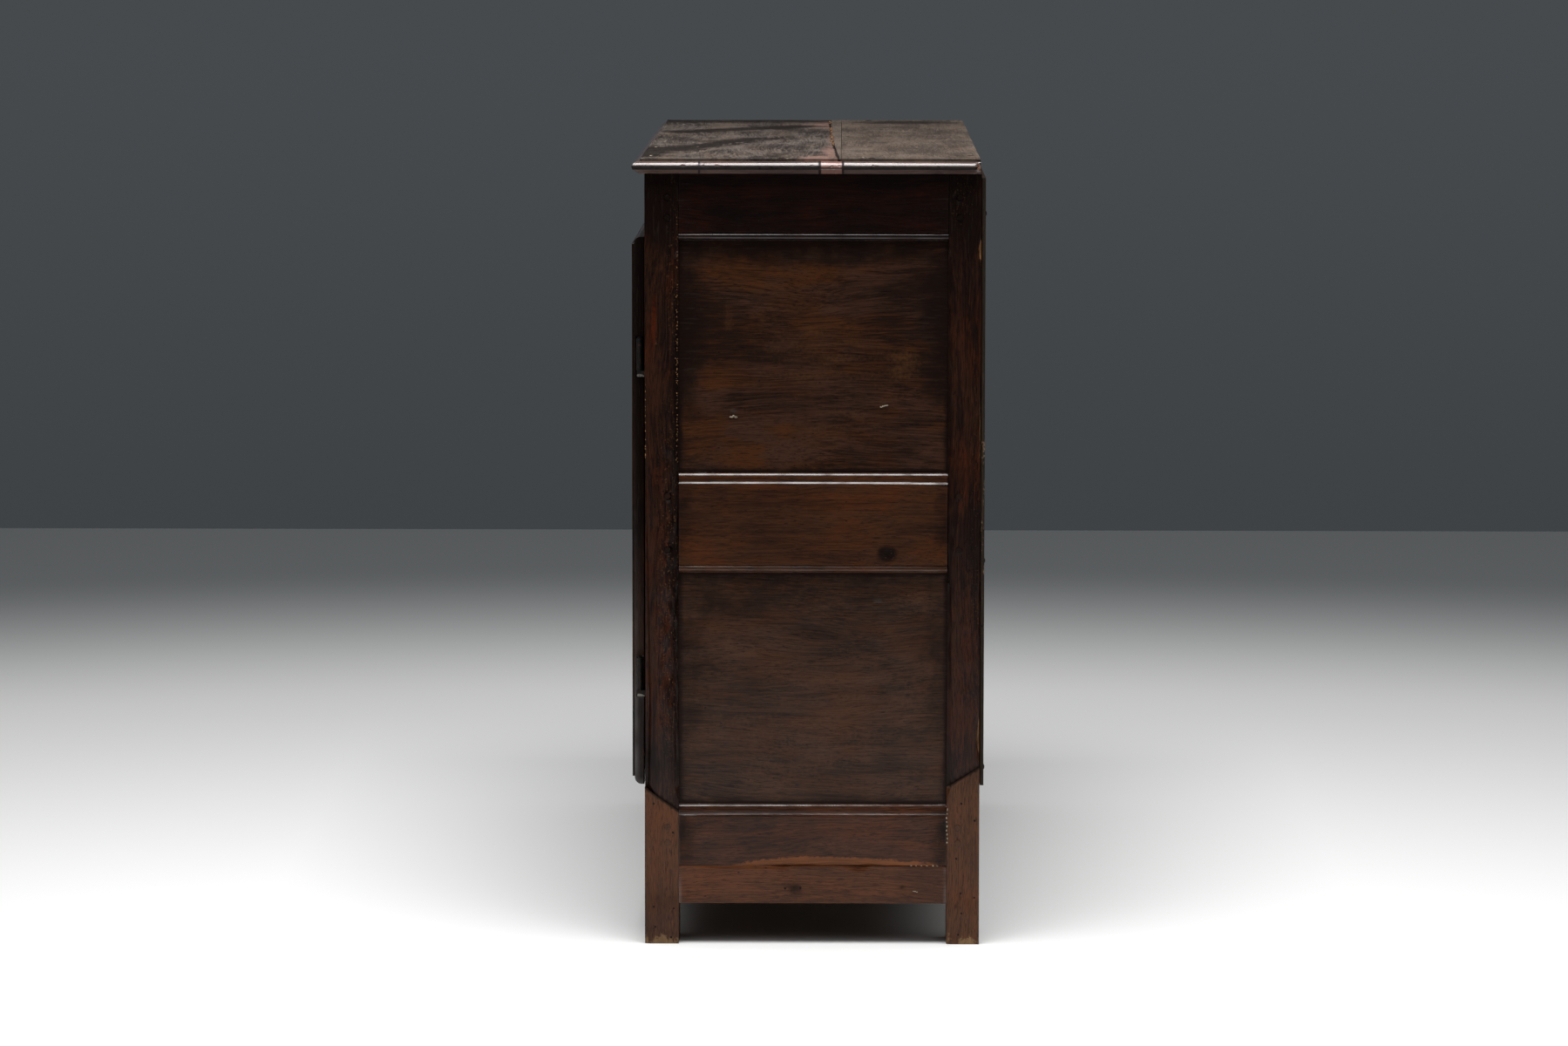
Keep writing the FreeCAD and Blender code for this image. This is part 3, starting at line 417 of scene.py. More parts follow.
def group(name, inputs, outputs):
    """A new shader group, what it is given and its last node; inputs and outputs are names by kind."""
    tree = bpy.data.node_groups.new(name, "ShaderNodeTree")
    for direction, kinds in (("INPUT", inputs), ("OUTPUT", outputs)):
        for kind, names in kinds.items():
            for socket in names:
                tree.interface.new_socket(socket, in_out=direction, socket_type="NodeSocket" + kind)
    return tree, tree.nodes.new("NodeGroupInput").outputs, tree.nodes.new("NodeGroupOutput")


def stretched(vector, scale):
    """Coordinates drawn out: noise on them has that many waves a metre along X, Y and Z."""
    return new_node("ShaderNodeMapping", {"Vector": vector, "Scale": scale}).outputs[0]


def cloud(vector, scale, detail, roughness):
    """Noise of scale waves a metre, or of three scales along X, Y and Z; finer with detail."""
    if isinstance(scale, tuple):
        vector = stretched(vector, scale)
        scale = 1
    sources = {"Vector": vector, "Scale": scale, "Detail": detail, "Roughness": roughness}
    return new_node("ShaderNodeTexNoise", sources).outputs["Fac"]


def make_oak():
    """Bare oak, from coordinates in metres with the grain along X: growth bands, fine streaks and pores."""
    tree, given, out = group("oak", {
        "Vector": ("Fibre",),
        "Color": ("Light", "Amber", "Dark"),
        "Float": ("Contrast",),
    }, {"Color": ("Color",), "Float": ("Height", "Tone")})
    fibre = given["Fibre"]
    usual_tone = 1.72
    sway = cloud(fibre, (3, 11, 11), 2, 0.5).node.outputs["Color"]
    bending = {0: sway, 1: (0, 0.05, 0.05), 2: fibre}
    bent = new_node("ShaderNodeVectorMath", bending, operation="MULTIPLY_ADD").outputs[0]
    growth = cloud(bent, (3.2, 95, 95), 4, 0.62)
    streaks = cloud(bent, (20, 340, 340), 4, 0.62)
    lines = cloud(bent, (10, 640, 640), 2, 0.6)
    pores = cloud(bent, (90, 1500, 1500), 1, 0.5)
    patches = cloud(fibre, (7, 13, 13), 3, 0.55)
    hues = cloud(stretched(fibre, (9, 24, 24)), 1.3, 2, 0.5)
    pore = band(pores, 0.34, 0.46, 1, 0)
    tone = times(streaks, 0.45, times(growth, 0.65))
    tone = times(patches, 1.2, tone)
    tone = times(lines, 1.15, tone)
    tone = times(calc("SUBTRACT", tone, usual_tone), given["Contrast"])
    tone = times(tone, 2.4, 0.5, clamp=True)
    lit = mix(band(hues, 0.42, 0.62), given["Light"], given["Amber"])
    colour = mix(tone, given["Dark"], lit)
    colour = mix(times(pore, 0.55), colour, given["Dark"], "MULTIPLY")
    height = times(growth, 0.4, times(streaks, 0.6))
    height = times(pore, -0.45, height)
    plug(out, {"Color": colour, "Height": height, "Tone": tone})
    return tree


def make_ageing():
    """What use has done to waxed oak: opened wood, dirt and painted shade, glowing wax, worm holes, pale
    crumbs that are partly dust and partly painted glints of wax, and drying cracks.
    """
    tree, given, out = group("ageing", {
        "Vector": ("Place", "Fibre"),
        "Color": ("Color", "Bare Color", "Grime Color", "Warm Color"),
        "Float": ("Height", "Tone", "Bare", "Grime_and_shade", "Warm", "Rot", "Gloss"),
    }, {"Color": ("Color",), "Float": ("Roughness", "Height")})
    place = given["Place"]
    fibre = given["Fibre"]
    rot = given["Rot"]
    scuffed = (0.085, 0.066, 0.052, 1)
    pitted = (0.004, 0.003, 0.0025, 1)
    coarse = cloud(place, 38, 4, 0.62)
    fine = cloud(place, 260, 3, 0.6)
    smear = cloud(fibre, (18, 90, 90), 3, 0.6)
    ragged = calc("SUBTRACT", smear, 0.5)
    ragged = times(calc("SUBTRACT", fine, 0.5), 0.7, ragged)
    opened = band(calc("ADD", given["Bare"], ragged), 0.52, 0.74)
    # Darkening for dirt, and in places for painted shade.
    darkening = calc("ADD", given["Grime_and_shade"], calc("SUBTRACT", coarse, 0.5))
    darkened_cover = times(band(darkening, 0.12, 0.8), 0.94)
    glowing = band(calc("ADD", given["Warm"], ragged), 0.3, 1)
    spread = {"Vector": stretched(fibre, (120, 190, 190)), "Scale": 1}
    holes = new_node("ShaderNodeTexVoronoi", spread).outputs
    chosen = new_node("ShaderNodeSeparateColor", {0: holes["Color"]}).outputs[0]
    eaten = calc("LESS_THAN", chosen, times(rot, 0.6, 0.012))
    hole = times(eaten, band(holes["Distance"], 0.11, 0.2, 1, 0))
    drying = cloud(fibre, (9, 170, 170), 2, 0.5)
    line = calc("ABSOLUTE", calc("SUBTRACT", drying, 0.5))
    crack = band(line, 0.004, 0.013, 1, 0)
    cracked = band(calc("ADD", rot, coarse), 0.72, 0.95)
    pit = calc("MAXIMUM", hole, times(crack, cracked))
    colour = mix(glowing, given["Color"], given["Warm Color"])
    colour = mix(darkened_cover, colour, given["Grime Color"])
    grained = times(given["Tone"], -0.45, 0.45, clamp=True)
    colour = mix(opened, colour, mix(grained, given["Bare Color"], given["Color"]))
    crust = times(band(cloud(fibre, (55, 230, 230), 3, 0.6), 0.44, 0.58), times(rot, 0.75))
    colour = mix(crust, colour, given["Grime Color"])
    # Pale specks in the rotten wood: partly dust, partly painted glints of wax.
    pale_specks = times(band(cloud(place, 450, 2, 0.5), 0.6, 0.7), times(rot, 0.36))
    colour = mix(pale_specks, colour, given["Bare Color"])
    scuffs = band(cloud(fibre, (34, 520, 520), 2, 0.5), 0.58, 0.7)
    scuffs = times(scuffs, band(given["Grime_and_shade"], 0.1, 0.5, 0, 0.09))
    colour = mix(scuffs, colour, scuffed)
    colour = mix(times(pit, 0.9), colour, pitted)
    rough = times(coarse, 0.3, calc("SUBTRACT", 0.75, given["Gloss"]))
    rough = times(given["Tone"], -0.08, rough)
    rough = times(calc("MAXIMUM", opened, darkened_cover), 0.18, rough, clamp=True)
    height = times(times(darkened_cover, fine), 0.8, given["Height"])
    height = times(times(rot, smear), 1.6, height)
    height = times(pale_specks, 0.8, height)
    height = times(crust, -1.2, height)
    height = times(pit, -2.4, height)
    plug(out, {"Color": colour, "Roughness": rough, "Height": height})
    return tree


oak = make_oak()
ageing = make_ageing()


def embossed(height, strength, step):
    """A surface bumped by a height; step is what a height of 1 stands out, in metres."""
    sources = {"Strength": strength, "Distance": step, "Height": height}
    return new_node("ShaderNodeBump", sources).outputs[0]


def trace_of(tree, name, output="Fac"):
    """What the mesh's attribute of that name says."""
    return new_node("ShaderNodeAttribute", tree=tree, attribute_name=name).outputs[output]


def wood(name, light, amber, dark, bare=(0.2, 0.095, 0.04), grime_and_shade=(0.0056, 0.0026, 0.0019),
         warm=(0.06, 0.0112, 0.0026), gloss=0.5, contrast=1, relief=0.7, coat=0.25, sheen=0.03):
    """A waxed oak finish, grained as the mesh's fibre says and aged where its traces say so. coat is the
    wax on its flat faces, sheen the wood's own; rubbed arrises and mouldings shine fully."""
    material, tree, shader = new_finish(name)
    found = {trace: trace_of(tree, trace) for trace in TRACES}
    fibre = trace_of(tree, "fibre", "Vector")
    polish = times(found["rubbed"], 1 - coat, coat)
    dull = times(found["grime_and_shade"], -0.9, 1, clamp=True)
    grain = new_node("ShaderNodeGroup", {
        "Fibre": fibre,
        "Light": (*light, 1),
        "Amber": (*amber, 1),
        "Dark": (*dark, 1),
        "Contrast": contrast,
    }, node_tree=oak).outputs
    aged = new_node("ShaderNodeGroup", {
        "Place": new_node("ShaderNodeTexCoord", tree=tree).outputs["Object"],
        "Fibre": fibre,
        **{name: grain[name] for name in ("Color", "Height", "Tone")},
        **{trace.capitalize(): found[trace] for trace in ("bare", "grime_and_shade", "warm", "rot")},
        "Bare Color": (*bare, 1),
        "Grime Color": (*grime_and_shade, 1),
        "Warm Color": (*warm, 1),
        "Gloss": gloss,
    }, node_tree=ageing).outputs
    plug(shader, {
        "Base Color": aged["Color"],
        "Roughness": aged["Roughness"],
        "Specular IOR Level": sheen,
        "Coat Weight": times(polish, dull),
        "Coat Roughness": 0.14,
        "Normal": embossed(aged["Height"], relief, 0.9 * MM),
    })
    return material


post_wood = wood("post_wood", (0.035, 0.013, 0.007), (0.042, 0.0116, 0.005), (0.0095, 0.0043, 0.003),
                 contrast=1.2, gloss=0.52)
front_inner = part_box("front_post_right")[1].y
rear_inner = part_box("rear_post_right")[0].y
rear_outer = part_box("rear_post_right")[1].y
ends = (("right", end_face), ("left", -end_face))


def bites(face, rows):
    """Dents at an X called face, from rows of (y, z, half-axes, depth)."""
    return [((face, y, z), reach, depth) for y, z, reach, depth in rows]


def touches(face, rows):
    """Marks at an X called face, from rows of (trace, y, z, half-axes, strength)."""
    return [(trace, (face, y, z), reach, strength) for trace, y, z, reach, strength in rows]


worm_middle = 0.44
front_damage = bites(end_face, [
    (front_inner - 0.004, worm_middle, (0.016, 0.016, 0.27), 0.0024),
    (front_inner - 0.012, 0.6, (0.008, 0.012, 0.1), 0.0014),
    (front_inner - 0.006, 0.8, (0.006, 0.01, 0.14), 0.0012),
    (front_inner - 0.018, 0.37, (0.006, 0.01, 0.12), 0.0012),
    (post_face, 0.67, (0.004, 0.003, 0.05), 0.0012),
    (post_face, 0.28, (0.004, 0.003, 0.06), 0.0014),
])
front_bow = bites(end_face, [(post_face, 0.31, (0.05, 0.016, 0.36), 0.0048)])
front_marks = touches(end_face, [
    ("warm", post_face + 0.012, 0.79, (0.02, 0.007, 0.07), 0.85),
    ("bare", post_face + 0.0145, 0.752, (0.01, 0.003, 0.02), 0.5),
    ("warm", post_face + 0.017, 0.9, (0.02, 0.013, 0.07), 0.35),
    ("warm", post_face + 0.016, 0.55, (0.02, 0.016, 0.2), 0.3),
    ("grime_and_shade", front_inner, 0.5, (0.02, 0.016, 0.62), 0.75),
    # Darker at the top, partly dirt and partly painted shade under the nosing.
    ("grime_and_shade", post_face + 0.02, 0.97, (0.03, 0.06, 0.17), 1.15),
    ("rot", front_inner - 0.004, 0.93, (0.03, 0.014, 0.06), 0.5),
    ("bare", front_inner, 0.7, (0.004, 0.0035, 0.14), 0.85),
    ("bare", post_face + 0.016, 0.701, (0.006, 0.009, 0.014), 0.55),
    ("rot", front_inner - 0.01, worm_middle, (0.02, 0.026, 0.34), 1.15),
    ("rot", front_inner - 0.006, 0.84, (0.02, 0.014, 0.16), 0.8),
])
high_splinter = 0.867
low_splinter = 0.262
rear_damage = bites(end_face, [
    (rear_outer, high_splinter, (0.006, 0.006, 0.022), 0.0035),
    (rear_outer, 0.645, (0.006, 0.005, 0.075), 0.003),
    (rear_outer, low_splinter, (0.006, 0.006, 0.035), 0.0035),
    (rear_outer, 0.45, (0.004, 0.004, 0.1), 0.0016),
    (rear_inner, 0.42, (0.006, 0.005, 0.16), 0.0016),
    (rear_inner + 0.009, 0.922, (0.006, 0.008, 0.02), 0.003),
])
rear_marks = touches(end_face, [
    ("bare", rear_outer, high_splinter, (0.008, 0.006, 0.022), 1.3),
    ("bare", rear_outer, 0.64, (0.007, 0.004, 0.085), 0.85),
    ("bare", rear_outer, low_splinter, (0.008, 0.006, 0.035), 1.3),
    ("bare", rear_inner, worm_middle, (0.004, 0.004, 0.05), 0.6),
    ("grime_and_shade", rear_inner, 0.55, (0.02, 0.01, 0.55), 0.7),
    # Darker at the top, partly dirt and partly painted shade under the nosing.
    ("grime_and_shade", rear_inner + 0.02, 0.96, (0.03, 0.06, 0.17), 0.95),
    ("rot", rear_inner + 0.016, 0.925, (0.03, 0.022, 0.05), 0.7),
    ("rot", rear_outer, 0.45, (0.02, 0.02, 0.4), 0.6),
    ("warm", rear_outer - 0.014, 0.8, (0.02, 0.016, 0.12), 0.3),
])
seam_half = 0.003
seam_dirt = 1.2
seam_marks = {}
for corner, outer, inner in (("front", post_face, front_inner), ("rear", rear_outer, rear_inner)):
    foot_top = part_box(f"{corner}_foot_right")[1].z
    post_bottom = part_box(f"{corner}_post_right")[0].z
    seam = ((end_face, outer, foot_top), (end_face, inner, post_bottom))
    seam_marks[corner] = [("grime_and_shade", seam, seam_half, seam_dirt)]
post_scars = {
    "front_post_right": (front_damage, front_marks + seam_marks["front"]),
    "rear_post_right": (rear_damage, rear_marks + seam_marks["rear"]),
    "front_post_left": ((), touches(-end_face, [("grime_and_shade", front_inner, 0.5, (0.02, 0.014, 0.6), 0.6)])),
    "rear_post_left": ((), touches(-end_face, [("grime_and_shade", rear_inner, 0.5, (0.02, 0.01, 0.6), 0.6)])),
}
for post, (scars, traces) in post_scars.items():
    steps = (3.5, 3, 4) if post.endswith("right") else (5, 5, 7)
    bow = front_bow if post == "front_post_right" else ()
    worn(post, post_wood, steps, (0.8, 3), 0.7, scars, traces, hollows=bow, shine=0.25)

# New feet. Plain square blocks of younger wood, scarfed under the old posts and stained to match, but a
# little lighter. They are scuffed pale at the floor, where mops and shoes have touched them.
foot_wood = wood("foot_wood", (0.09, 0.0335, 0.0135), (0.098, 0.0318, 0.0106), (0.043, 0.0163, 0.0073),
                 bare=(0.21, 0.125, 0.058), grime_and_shade=(0.018, 0.01, 0.006),
                 gloss=0.42, contrast=0.75, relief=0.45)
for corner in ("front", "rear"):
    for side, face in ends:
        node = f"{corner}_foot_{side}"
        low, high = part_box(node)
        middle = (low.y + high.y) / 2
        traces = seam_marks[corner] + touches(face, [
            ("bare", middle, 0, (0.05, 0.05, 0.022), 0.78),
            ("bare", low.y + 0.004, 0, (0.03, 0.012, 0.03), 0.72),
            ("grime_and_shade", middle, 0.052, (0.05, 0.04, 0.02), 0.3),
        ])
        chips = bites(face, [(low.y, 0, (0.006, 0.006, 0.01), 0.0015)])
        steps = (4, 3.5, 4) if side == "right" else (5, 5, 6)
        worn(node, foot_wood, steps, (0.5, 1.3), 0.3, chips, traces, shine=0.15)

# End rails. Oak rails with a run moulding above and a bead below, tenoned and pegged into the posts. The
# top one sits in the shadow of the nosing, and its colour is painted much darker for that shade; the bottom
# one's colour is painted lighter for the light thrown up from the floor. The middle one has a knot, and the
# bottom one is rubbed to clean wood along its lower edge.
# One oak in three tones: painted darker towards the top and lighter towards the bottom for how the light
# falls.
rail_woods = {
    "top": wood("top_rail_wood", (0.0125, 0.0036, 0.0024), (0.018, 0.0042, 0.0018),
                (0.0042, 0.0016, 0.0011)),
    "middle": wood("middle_rail_wood", (0.054, 0.0195, 0.0079), (0.066, 0.02, 0.006),
                   (0.022, 0.0082, 0.0039), contrast=0.9, gloss=0.52),
    "bottom": wood("bottom_rail_wood", (0.067, 0.024, 0.0112), (0.078, 0.024, 0.0085),
                   (0.026, 0.01, 0.0054), bare=(0.17, 0.056, 0.0175), contrast=0.9, gloss=0.45),
}
knot_y = 0.1104
knot_z = 0.4883
for rail, finish in rail_woods.items():
    for side, face in ends:
        node = f"end_{rail}_rail_{side}"
        low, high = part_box(node)
        middle = (low.z + high.z) / 2
        scars = []
        traces = touches(face, [
            ("grime_and_shade", y, middle, (0.03, 0.03, 0.09), 0.55) for y in (front_inner, rear_inner)
        ])
        if rail == "bottom" and side == "right":
            scars = bites(face, [(0.045, low.z, (0.008, 0.135, 0.011), 0.0022)])
            traces += touches(face, [
                ("bare", 0.04, low.z, (0.03, 0.18, 0.0145), 1.6),
                ("bare", 0.01, low.z + 0.003, (0.03, 0.07, 0.0145), 1.3),
            ])
        if rail == "middle" and side == "right":
            scars = bites(face, [(knot_y, knot_z, (0.005, 0.006, 0.004), 0.0018)])
            traces += touches(face, [
                ("rot", knot_y, knot_z, (0.01, 0.012, 0.009), 1),
                ("grime_and_shade", 0.109, 0.49, (0.01, 0.018, 0.015), 1),
            ])
        steps = (6, 4, 4) if side == "right" else (8, 8, 8)
        worn(node, finish, steps, (0.3, 0.9), 0.45, scars, traces, near=(0.6, 1.4))

# End panels. Wide thin boards, flat outside, let into grooves in the frame and free to shrink. Polish has
# made their middles glow, and the upper one is gouged twice. Their rims are darker, partly dirt and partly
# painted shade of the frame round them, with a band of painted shade under the rail above. The lower
# panel's colour is painted somewhat lighter than the upper's, for the light thrown up from the floor.
panel_woods = {
    "upper": wood("panel_wood", (0.049, 0.0212, 0.0122), (0.057, 0.0192, 0.0064), (0.0135, 0.0056, 0.0034),
                  bare=(0.22, 0.13, 0.08), grime_and_shade=(0.0078, 0.0036, 0.0024), warm=(0.07, 0.029, 0.011),
                  contrast=0.95),
    # Painted lighter than the upper panel, for the light thrown up from the floor.
    "lower": wood("lower_panel_wood", (0.059, 0.0268, 0.0146), (0.062, 0.0245, 0.0106),
                  (0.017, 0.0078, 0.0048), bare=(0.22, 0.13, 0.08), grime_and_shade=(0.01, 0.0047, 0.0032),
                  warm=(0.071, 0.033, 0.0182), contrast=0.7),
}
panel_limits = {
    "lower": (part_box("end_bottom_rail_right")[1].z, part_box("end_middle_rail_right")[0].z),
    "upper": (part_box("end_middle_rail_right")[1].z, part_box("end_top_rail_right")[0].z),
}
panel_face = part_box("end_upper_panel_right")[1].x
panel_dirt_and_shade = {"upper": 1, "lower": 0.6}
panel_gouges = {
    "upper": bites(panel_face, [
        (-0.0821, 0.6605, (0.004, 0.0062, 0.0036), 0.003),
        (-0.086, 0.659, (0.003, 0.0035, 0.0025), 0.002),
        (0.1056, 0.6738, (0.004, 0.006, 0.003), 0.0028),
        (-0.094, 0.8559, (0.003, 0.003, 0.0022), 0.0018),
        (0.019, 0.8292, (0.002, 0.006, 0.0014), 0.0012),
        (0.1065, 0.7257, (0.002, 0.003, 0.002), 0.0012),
    ]),
    "lower": bites(panel_face, [(0.0976, 0.4273, (0.002, 0.006, 0.0022), 0.0014)]),
}
no_limit = 9
for panel, (sill, head) in panel_limits.items():
    for side, face in (("right", panel_face), ("left", -panel_face)):
        node = f"end_{panel}_panel_{side}"
        middle = (sill + head) / 2
        dirt_and_shade = panel_dirt_and_shade[panel]
        scars = panel_gouges[panel] if side == "right" else []
        traces = touches(face, [
            ("warm", 0.03, middle - 0.03, (0.05, 0.2, 0.15), 0.42),
            ("warm", 0.13, middle - 0.01, (0.05, 0.05, 0.045), 0.55),
            ("warm", -0.088, middle + 0.05, (0.05, 0.014, 0.04), 0.55),
            # The band under the rail above is painted shade; the side bands are partly dirt and partly
            # painted shade.
            ("grime_and_shade", 0, head, (0.05, 0.36, 0.05), 0.8 * dirt_and_shade),
            ("grime_and_shade", front_inner, middle + 0.03, (0.05, 0.055, 0.17), 0.85 * dirt_and_shade),
            ("grime_and_shade", rear_inner, middle + 0.04, (0.05, 0.055, 0.16), 0.8 * dirt_and_shade),
        ])
        if side == "right" and panel == "lower":
            traces += touches(face, [
                ("grime_and_shade", -0.1, head - 0.04, (0.05, 0.12, 0.035), 0.6),
                ("warm", 0, middle - 0.07, (0.05, 0.24, 0.1), 0.5),
            ])
        limits = ((-no_limit, front_inner, sill), (no_limit, rear_inner, head))
        steps = (6, 5, 5) if side == "right" else (6, 9, 9)
        worn(node, panel_woods[panel], steps, (0.3, 0.5), 0.9, scars, traces, rim=6,
             window=limits)

# Base strips. Thin boards of younger wood nailed under the old bottom rails when the feet were renewed.
# Their stain is even and their faces flat, chipped a little along the old rail and dark round the brads.
strip_wood = wood("strip_wood", (0.099, 0.0335, 0.0122), (0.105, 0.0325, 0.0099), (0.046, 0.016, 0.0069),
                  bare=(0.26, 0.17, 0.09), grime_and_shade=(0.014, 0.008, 0.005), gloss=0.42, relief=0.5)
strip_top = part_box("end_bottom_rail_right")[0].z
strip_scars = bites(end_face, [
    (-0.02, strip_top, (0.005, 0.016, 0.003), 0.0022),
    (0.075, strip_top, (0.005, 0.02, 0.0025), 0.002),
    (0.142, 0.0665, (0.003, 0.004, 0.002), 0.0012),
])
strip_traces = touches(end_face, [
    ("grime_and_shade", -0.005, 0.07, (0.02, 0.014, 0.01), 0.8),
    ("grime_and_shade", 0.13, 0.072, (0.02, 0.008, 0.006), 0.7),
])
worn("base_strips", strip_wood, (10, 5, 5), (0.4, 1), 0.35, strip_scars, strip_traces,
     near=(0.8,))

# Nail heads, filler, worm dust and painted glints. Forged brads hold the feet and strips, sunk level with
# the wood or a little below. Whitish filler was dabbed into the gaps between old and new wood, and pale dust
# has fallen from the worm holes of the front post and stuck along its edges. Lumps of the same pale chalk
# sit in the two gouges of the upper end panel as painted glints of their bright broken edges.


def lumps(name, places, finish, seed):
    """Small uneven lumps joined in one piece of the case; places are (centre, half-axes) in metres."""
    rough = random.Random(seed)
    heap = bmesh.new()
    for centre, half in places:
        made = bmesh.ops.create_icosphere(heap, subdivisions=2, radius=1.0)
        for v in made["verts"]:
            v.co *= rough.uniform(0.78, 1)
            v.co = Vector(centre) + Vector([v.co[a] * half[a] for a in range(3)])
    mesh = bpy.data.meshes.new(name)
    heap.to_mesh(mesh)
    heap.free()
    mesh.shade_smooth()
    piece = put(name, mesh)
    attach(piece, "case")
    dress(piece, finish)


def putty(name, pale, dark):
    """Hard old filler: chalky, with dirt in its pores."""
    material, tree, shader = new_finish(name)
    soiled = cloud(new_node("ShaderNodeTexCoord", tree=tree).outputs["Object"], 700, 3, 0.6)
    plug(shader, {
        "Base Color": mix(band(soiled, 0.42, 0.6), (*dark, 1), (*pale, 1)),
        "Roughness": 0.85,
        "Specular IOR Level": 0.2,
        "Normal": embossed(soiled, 0.5, 0.3 * MM),
    })
    return material


chalk_filler_and_glints = putty("chalk_filler_and_glints", (0.42, 0.36, 0.27), (0.12, 0.09, 0.06))
rusted_head = putty("rusted_head", (0.01, 0.005, 0.0035), (0.003, 0.002, 0.0015))
worm_dust = putty("worm_dust", (0.33, 0.17, 0.065), (0.09, 0.045, 0.02))
foot_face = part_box("front_foot_right")[1].x
sprinkle = random.Random(11)
filler_sunk = 0.0002
gouge_glint_sunk = 0.0003
rear_scarf_y = 0.1846
rear_scarf_z = 0.128
strip_hole_y = 0.143
strip_hole_z = 0.0665
strip_gap_y = 0.142
left_gouge_y = -0.0845
left_gouge_z = 0.6592
right_gouge_y = 0.1015
right_gouge_z = 0.6722
chalk_and_glint_places = [
    ((foot_face - filler_sunk, rear_scarf_y + sprinkle.uniform(-0.0006, 0.0006), rear_scarf_z + 0.0052 * k),
     (0.0007, 0.001, sprinkle.uniform(0.0008, 0.0019)))
    for k in range(9)
]
chalk_and_glint_places += [
    ((end_face - filler_sunk, strip_hole_y + 0.0022 * k, strip_hole_z + sprinkle.uniform(-0.0008, 0.0008)),
     (0.0006, 0.001, 0.0008))
    for k in range(3)
]
chalk_and_glint_places += [
    ((end_face - filler_sunk, strip_gap_y + 0.006 * k + sprinkle.uniform(-0.002, 0.002), strip_top + 0.0005),
     (0.0006, sprinkle.uniform(0.001, 0.0018), 0.0007))
    for k in range(6)
]
# The lumps in the two gouges are painted glints of their bright broken edges, not filler.
gouge_face = panel_face - gouge_glint_sunk
chalk_and_glint_places += [
    ((gouge_face, left_gouge_y + 0.003 * k, left_gouge_z + 0.0012 * (k % 2)), (0.0008, 0.0022, 0.0014))
    for k in range(3)
]
chalk_and_glint_places += [
    ((gouge_face, right_gouge_y + 0.0024 * k, right_gouge_z + 0.0012 * k - 0.0002 * k * k),
     (0.0008, 0.0018, 0.0009))
    for k in range(4)
]
lumps("chalk_filler_and_glints", chalk_and_glint_places, chalk_filler_and_glints, 3)
dust_x = foot_face - 0.0013
dust_places = []
for pale_specks, low, high in ((66, 0.6, 0.78), (26, 0.78, 0.93)):
    for crumb in range(pale_specks):
        z = sprinkle.uniform(low, high)
        y = front_inner - 0.0012 - abs(sprinkle.gauss(0, 0.0008))
        dust_places.append(((dust_x, y, z),
                            (0.0011, sprinkle.uniform(0.0003, 0.0007), sprinkle.uniform(0.0004, 0.0012))))
for crumb in range(16):
    dust_places.append(((dust_x, post_face + 0.0014, sprinkle.uniform(0.6, 0.7)),
                        (0.001, 0.0007, sprinkle.uniform(0.0006, 0.0013))))
lumps("worm_dust", dust_places, worm_dust, 8)
nail_sunk = 0.0004
nail_size = (0.0007, 0.0017, 0.0017)
nail_places = ((-0.1808, 0.1763), (-0.1569, 0.1401), (-0.1809, 0.0466), (-0.1559, 0.0445), (-0.1788, 0.0213),
               (-0.1592, 0.0081), (0.2025, 0.1773), (0.219, 0.156), (0.1962, 0.1081), (0.2019, 0.0642),
               (0.219, 0.059), (0.203, 0.0389), (0.199, 0.012), (-0.017, 0.07), (0.002, 0.0705))
lumps("foot_nails", [((foot_face - nail_sunk, y, z), nail_size) for y, z in nail_places], rusted_head,
      5)

# Front frame. Top rail, bottom rail and muntin, tenoned together and into the front posts; the muntin
# takes both bolts. They are planed flat, and the doors close over most of them.
front_wood = wood("front_wood", (0.031, 0.0128, 0.0072), (0.038, 0.0125, 0.0052), (0.01, 0.0048, 0.0032))
for node in ("front_top_rail", "front_bottom_rail", "front_muntin"):
    worn(node, front_wood, (10, 8, 10), (0.5, 1.5), 0.4, near=(0.8, 1.8))

# Back. Six vertical boards, roughly planed and never waxed, are nailed to three plain rails.
# They stand a little behind the rear posts, and their outer edges are splintered to clean wood.
back_wood = wood("back_wood", (0.105, 0.065, 0.04), (0.115, 0.062, 0.031), (0.042, 0.027, 0.018),
                 bare=(0.22, 0.14, 0.085), grime_and_shade=(0.022, 0.016, 0.012), gloss=0.12, contrast=1.1, coat=0)
back_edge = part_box("back_boards")[1].y
back_scars = bites(end_face, [
    (back_edge, z, (0.004, 0.006, reach), 0.002)
    for z, reach in ((0.83, 0.03), (0.7, 0.05), (0.55, 0.06), (0.4, 0.05), (0.27, 0.04))
])
splintered = [("bare", back_edge, 0.55, (0.006, 0.012, 0.5), 0.72)]
back_traces = touches(end_face, splintered) + touches(-end_face, splintered)
worn("back_boards", back_wood, (14, 6, 14), (0.3, 1), 0.5, back_scars, back_traces, rim=6,
     near=(1,))
worn("back_rails", back_wood, (25, 14, 14), (0.5, 1.2), 0.5, near=(1,))

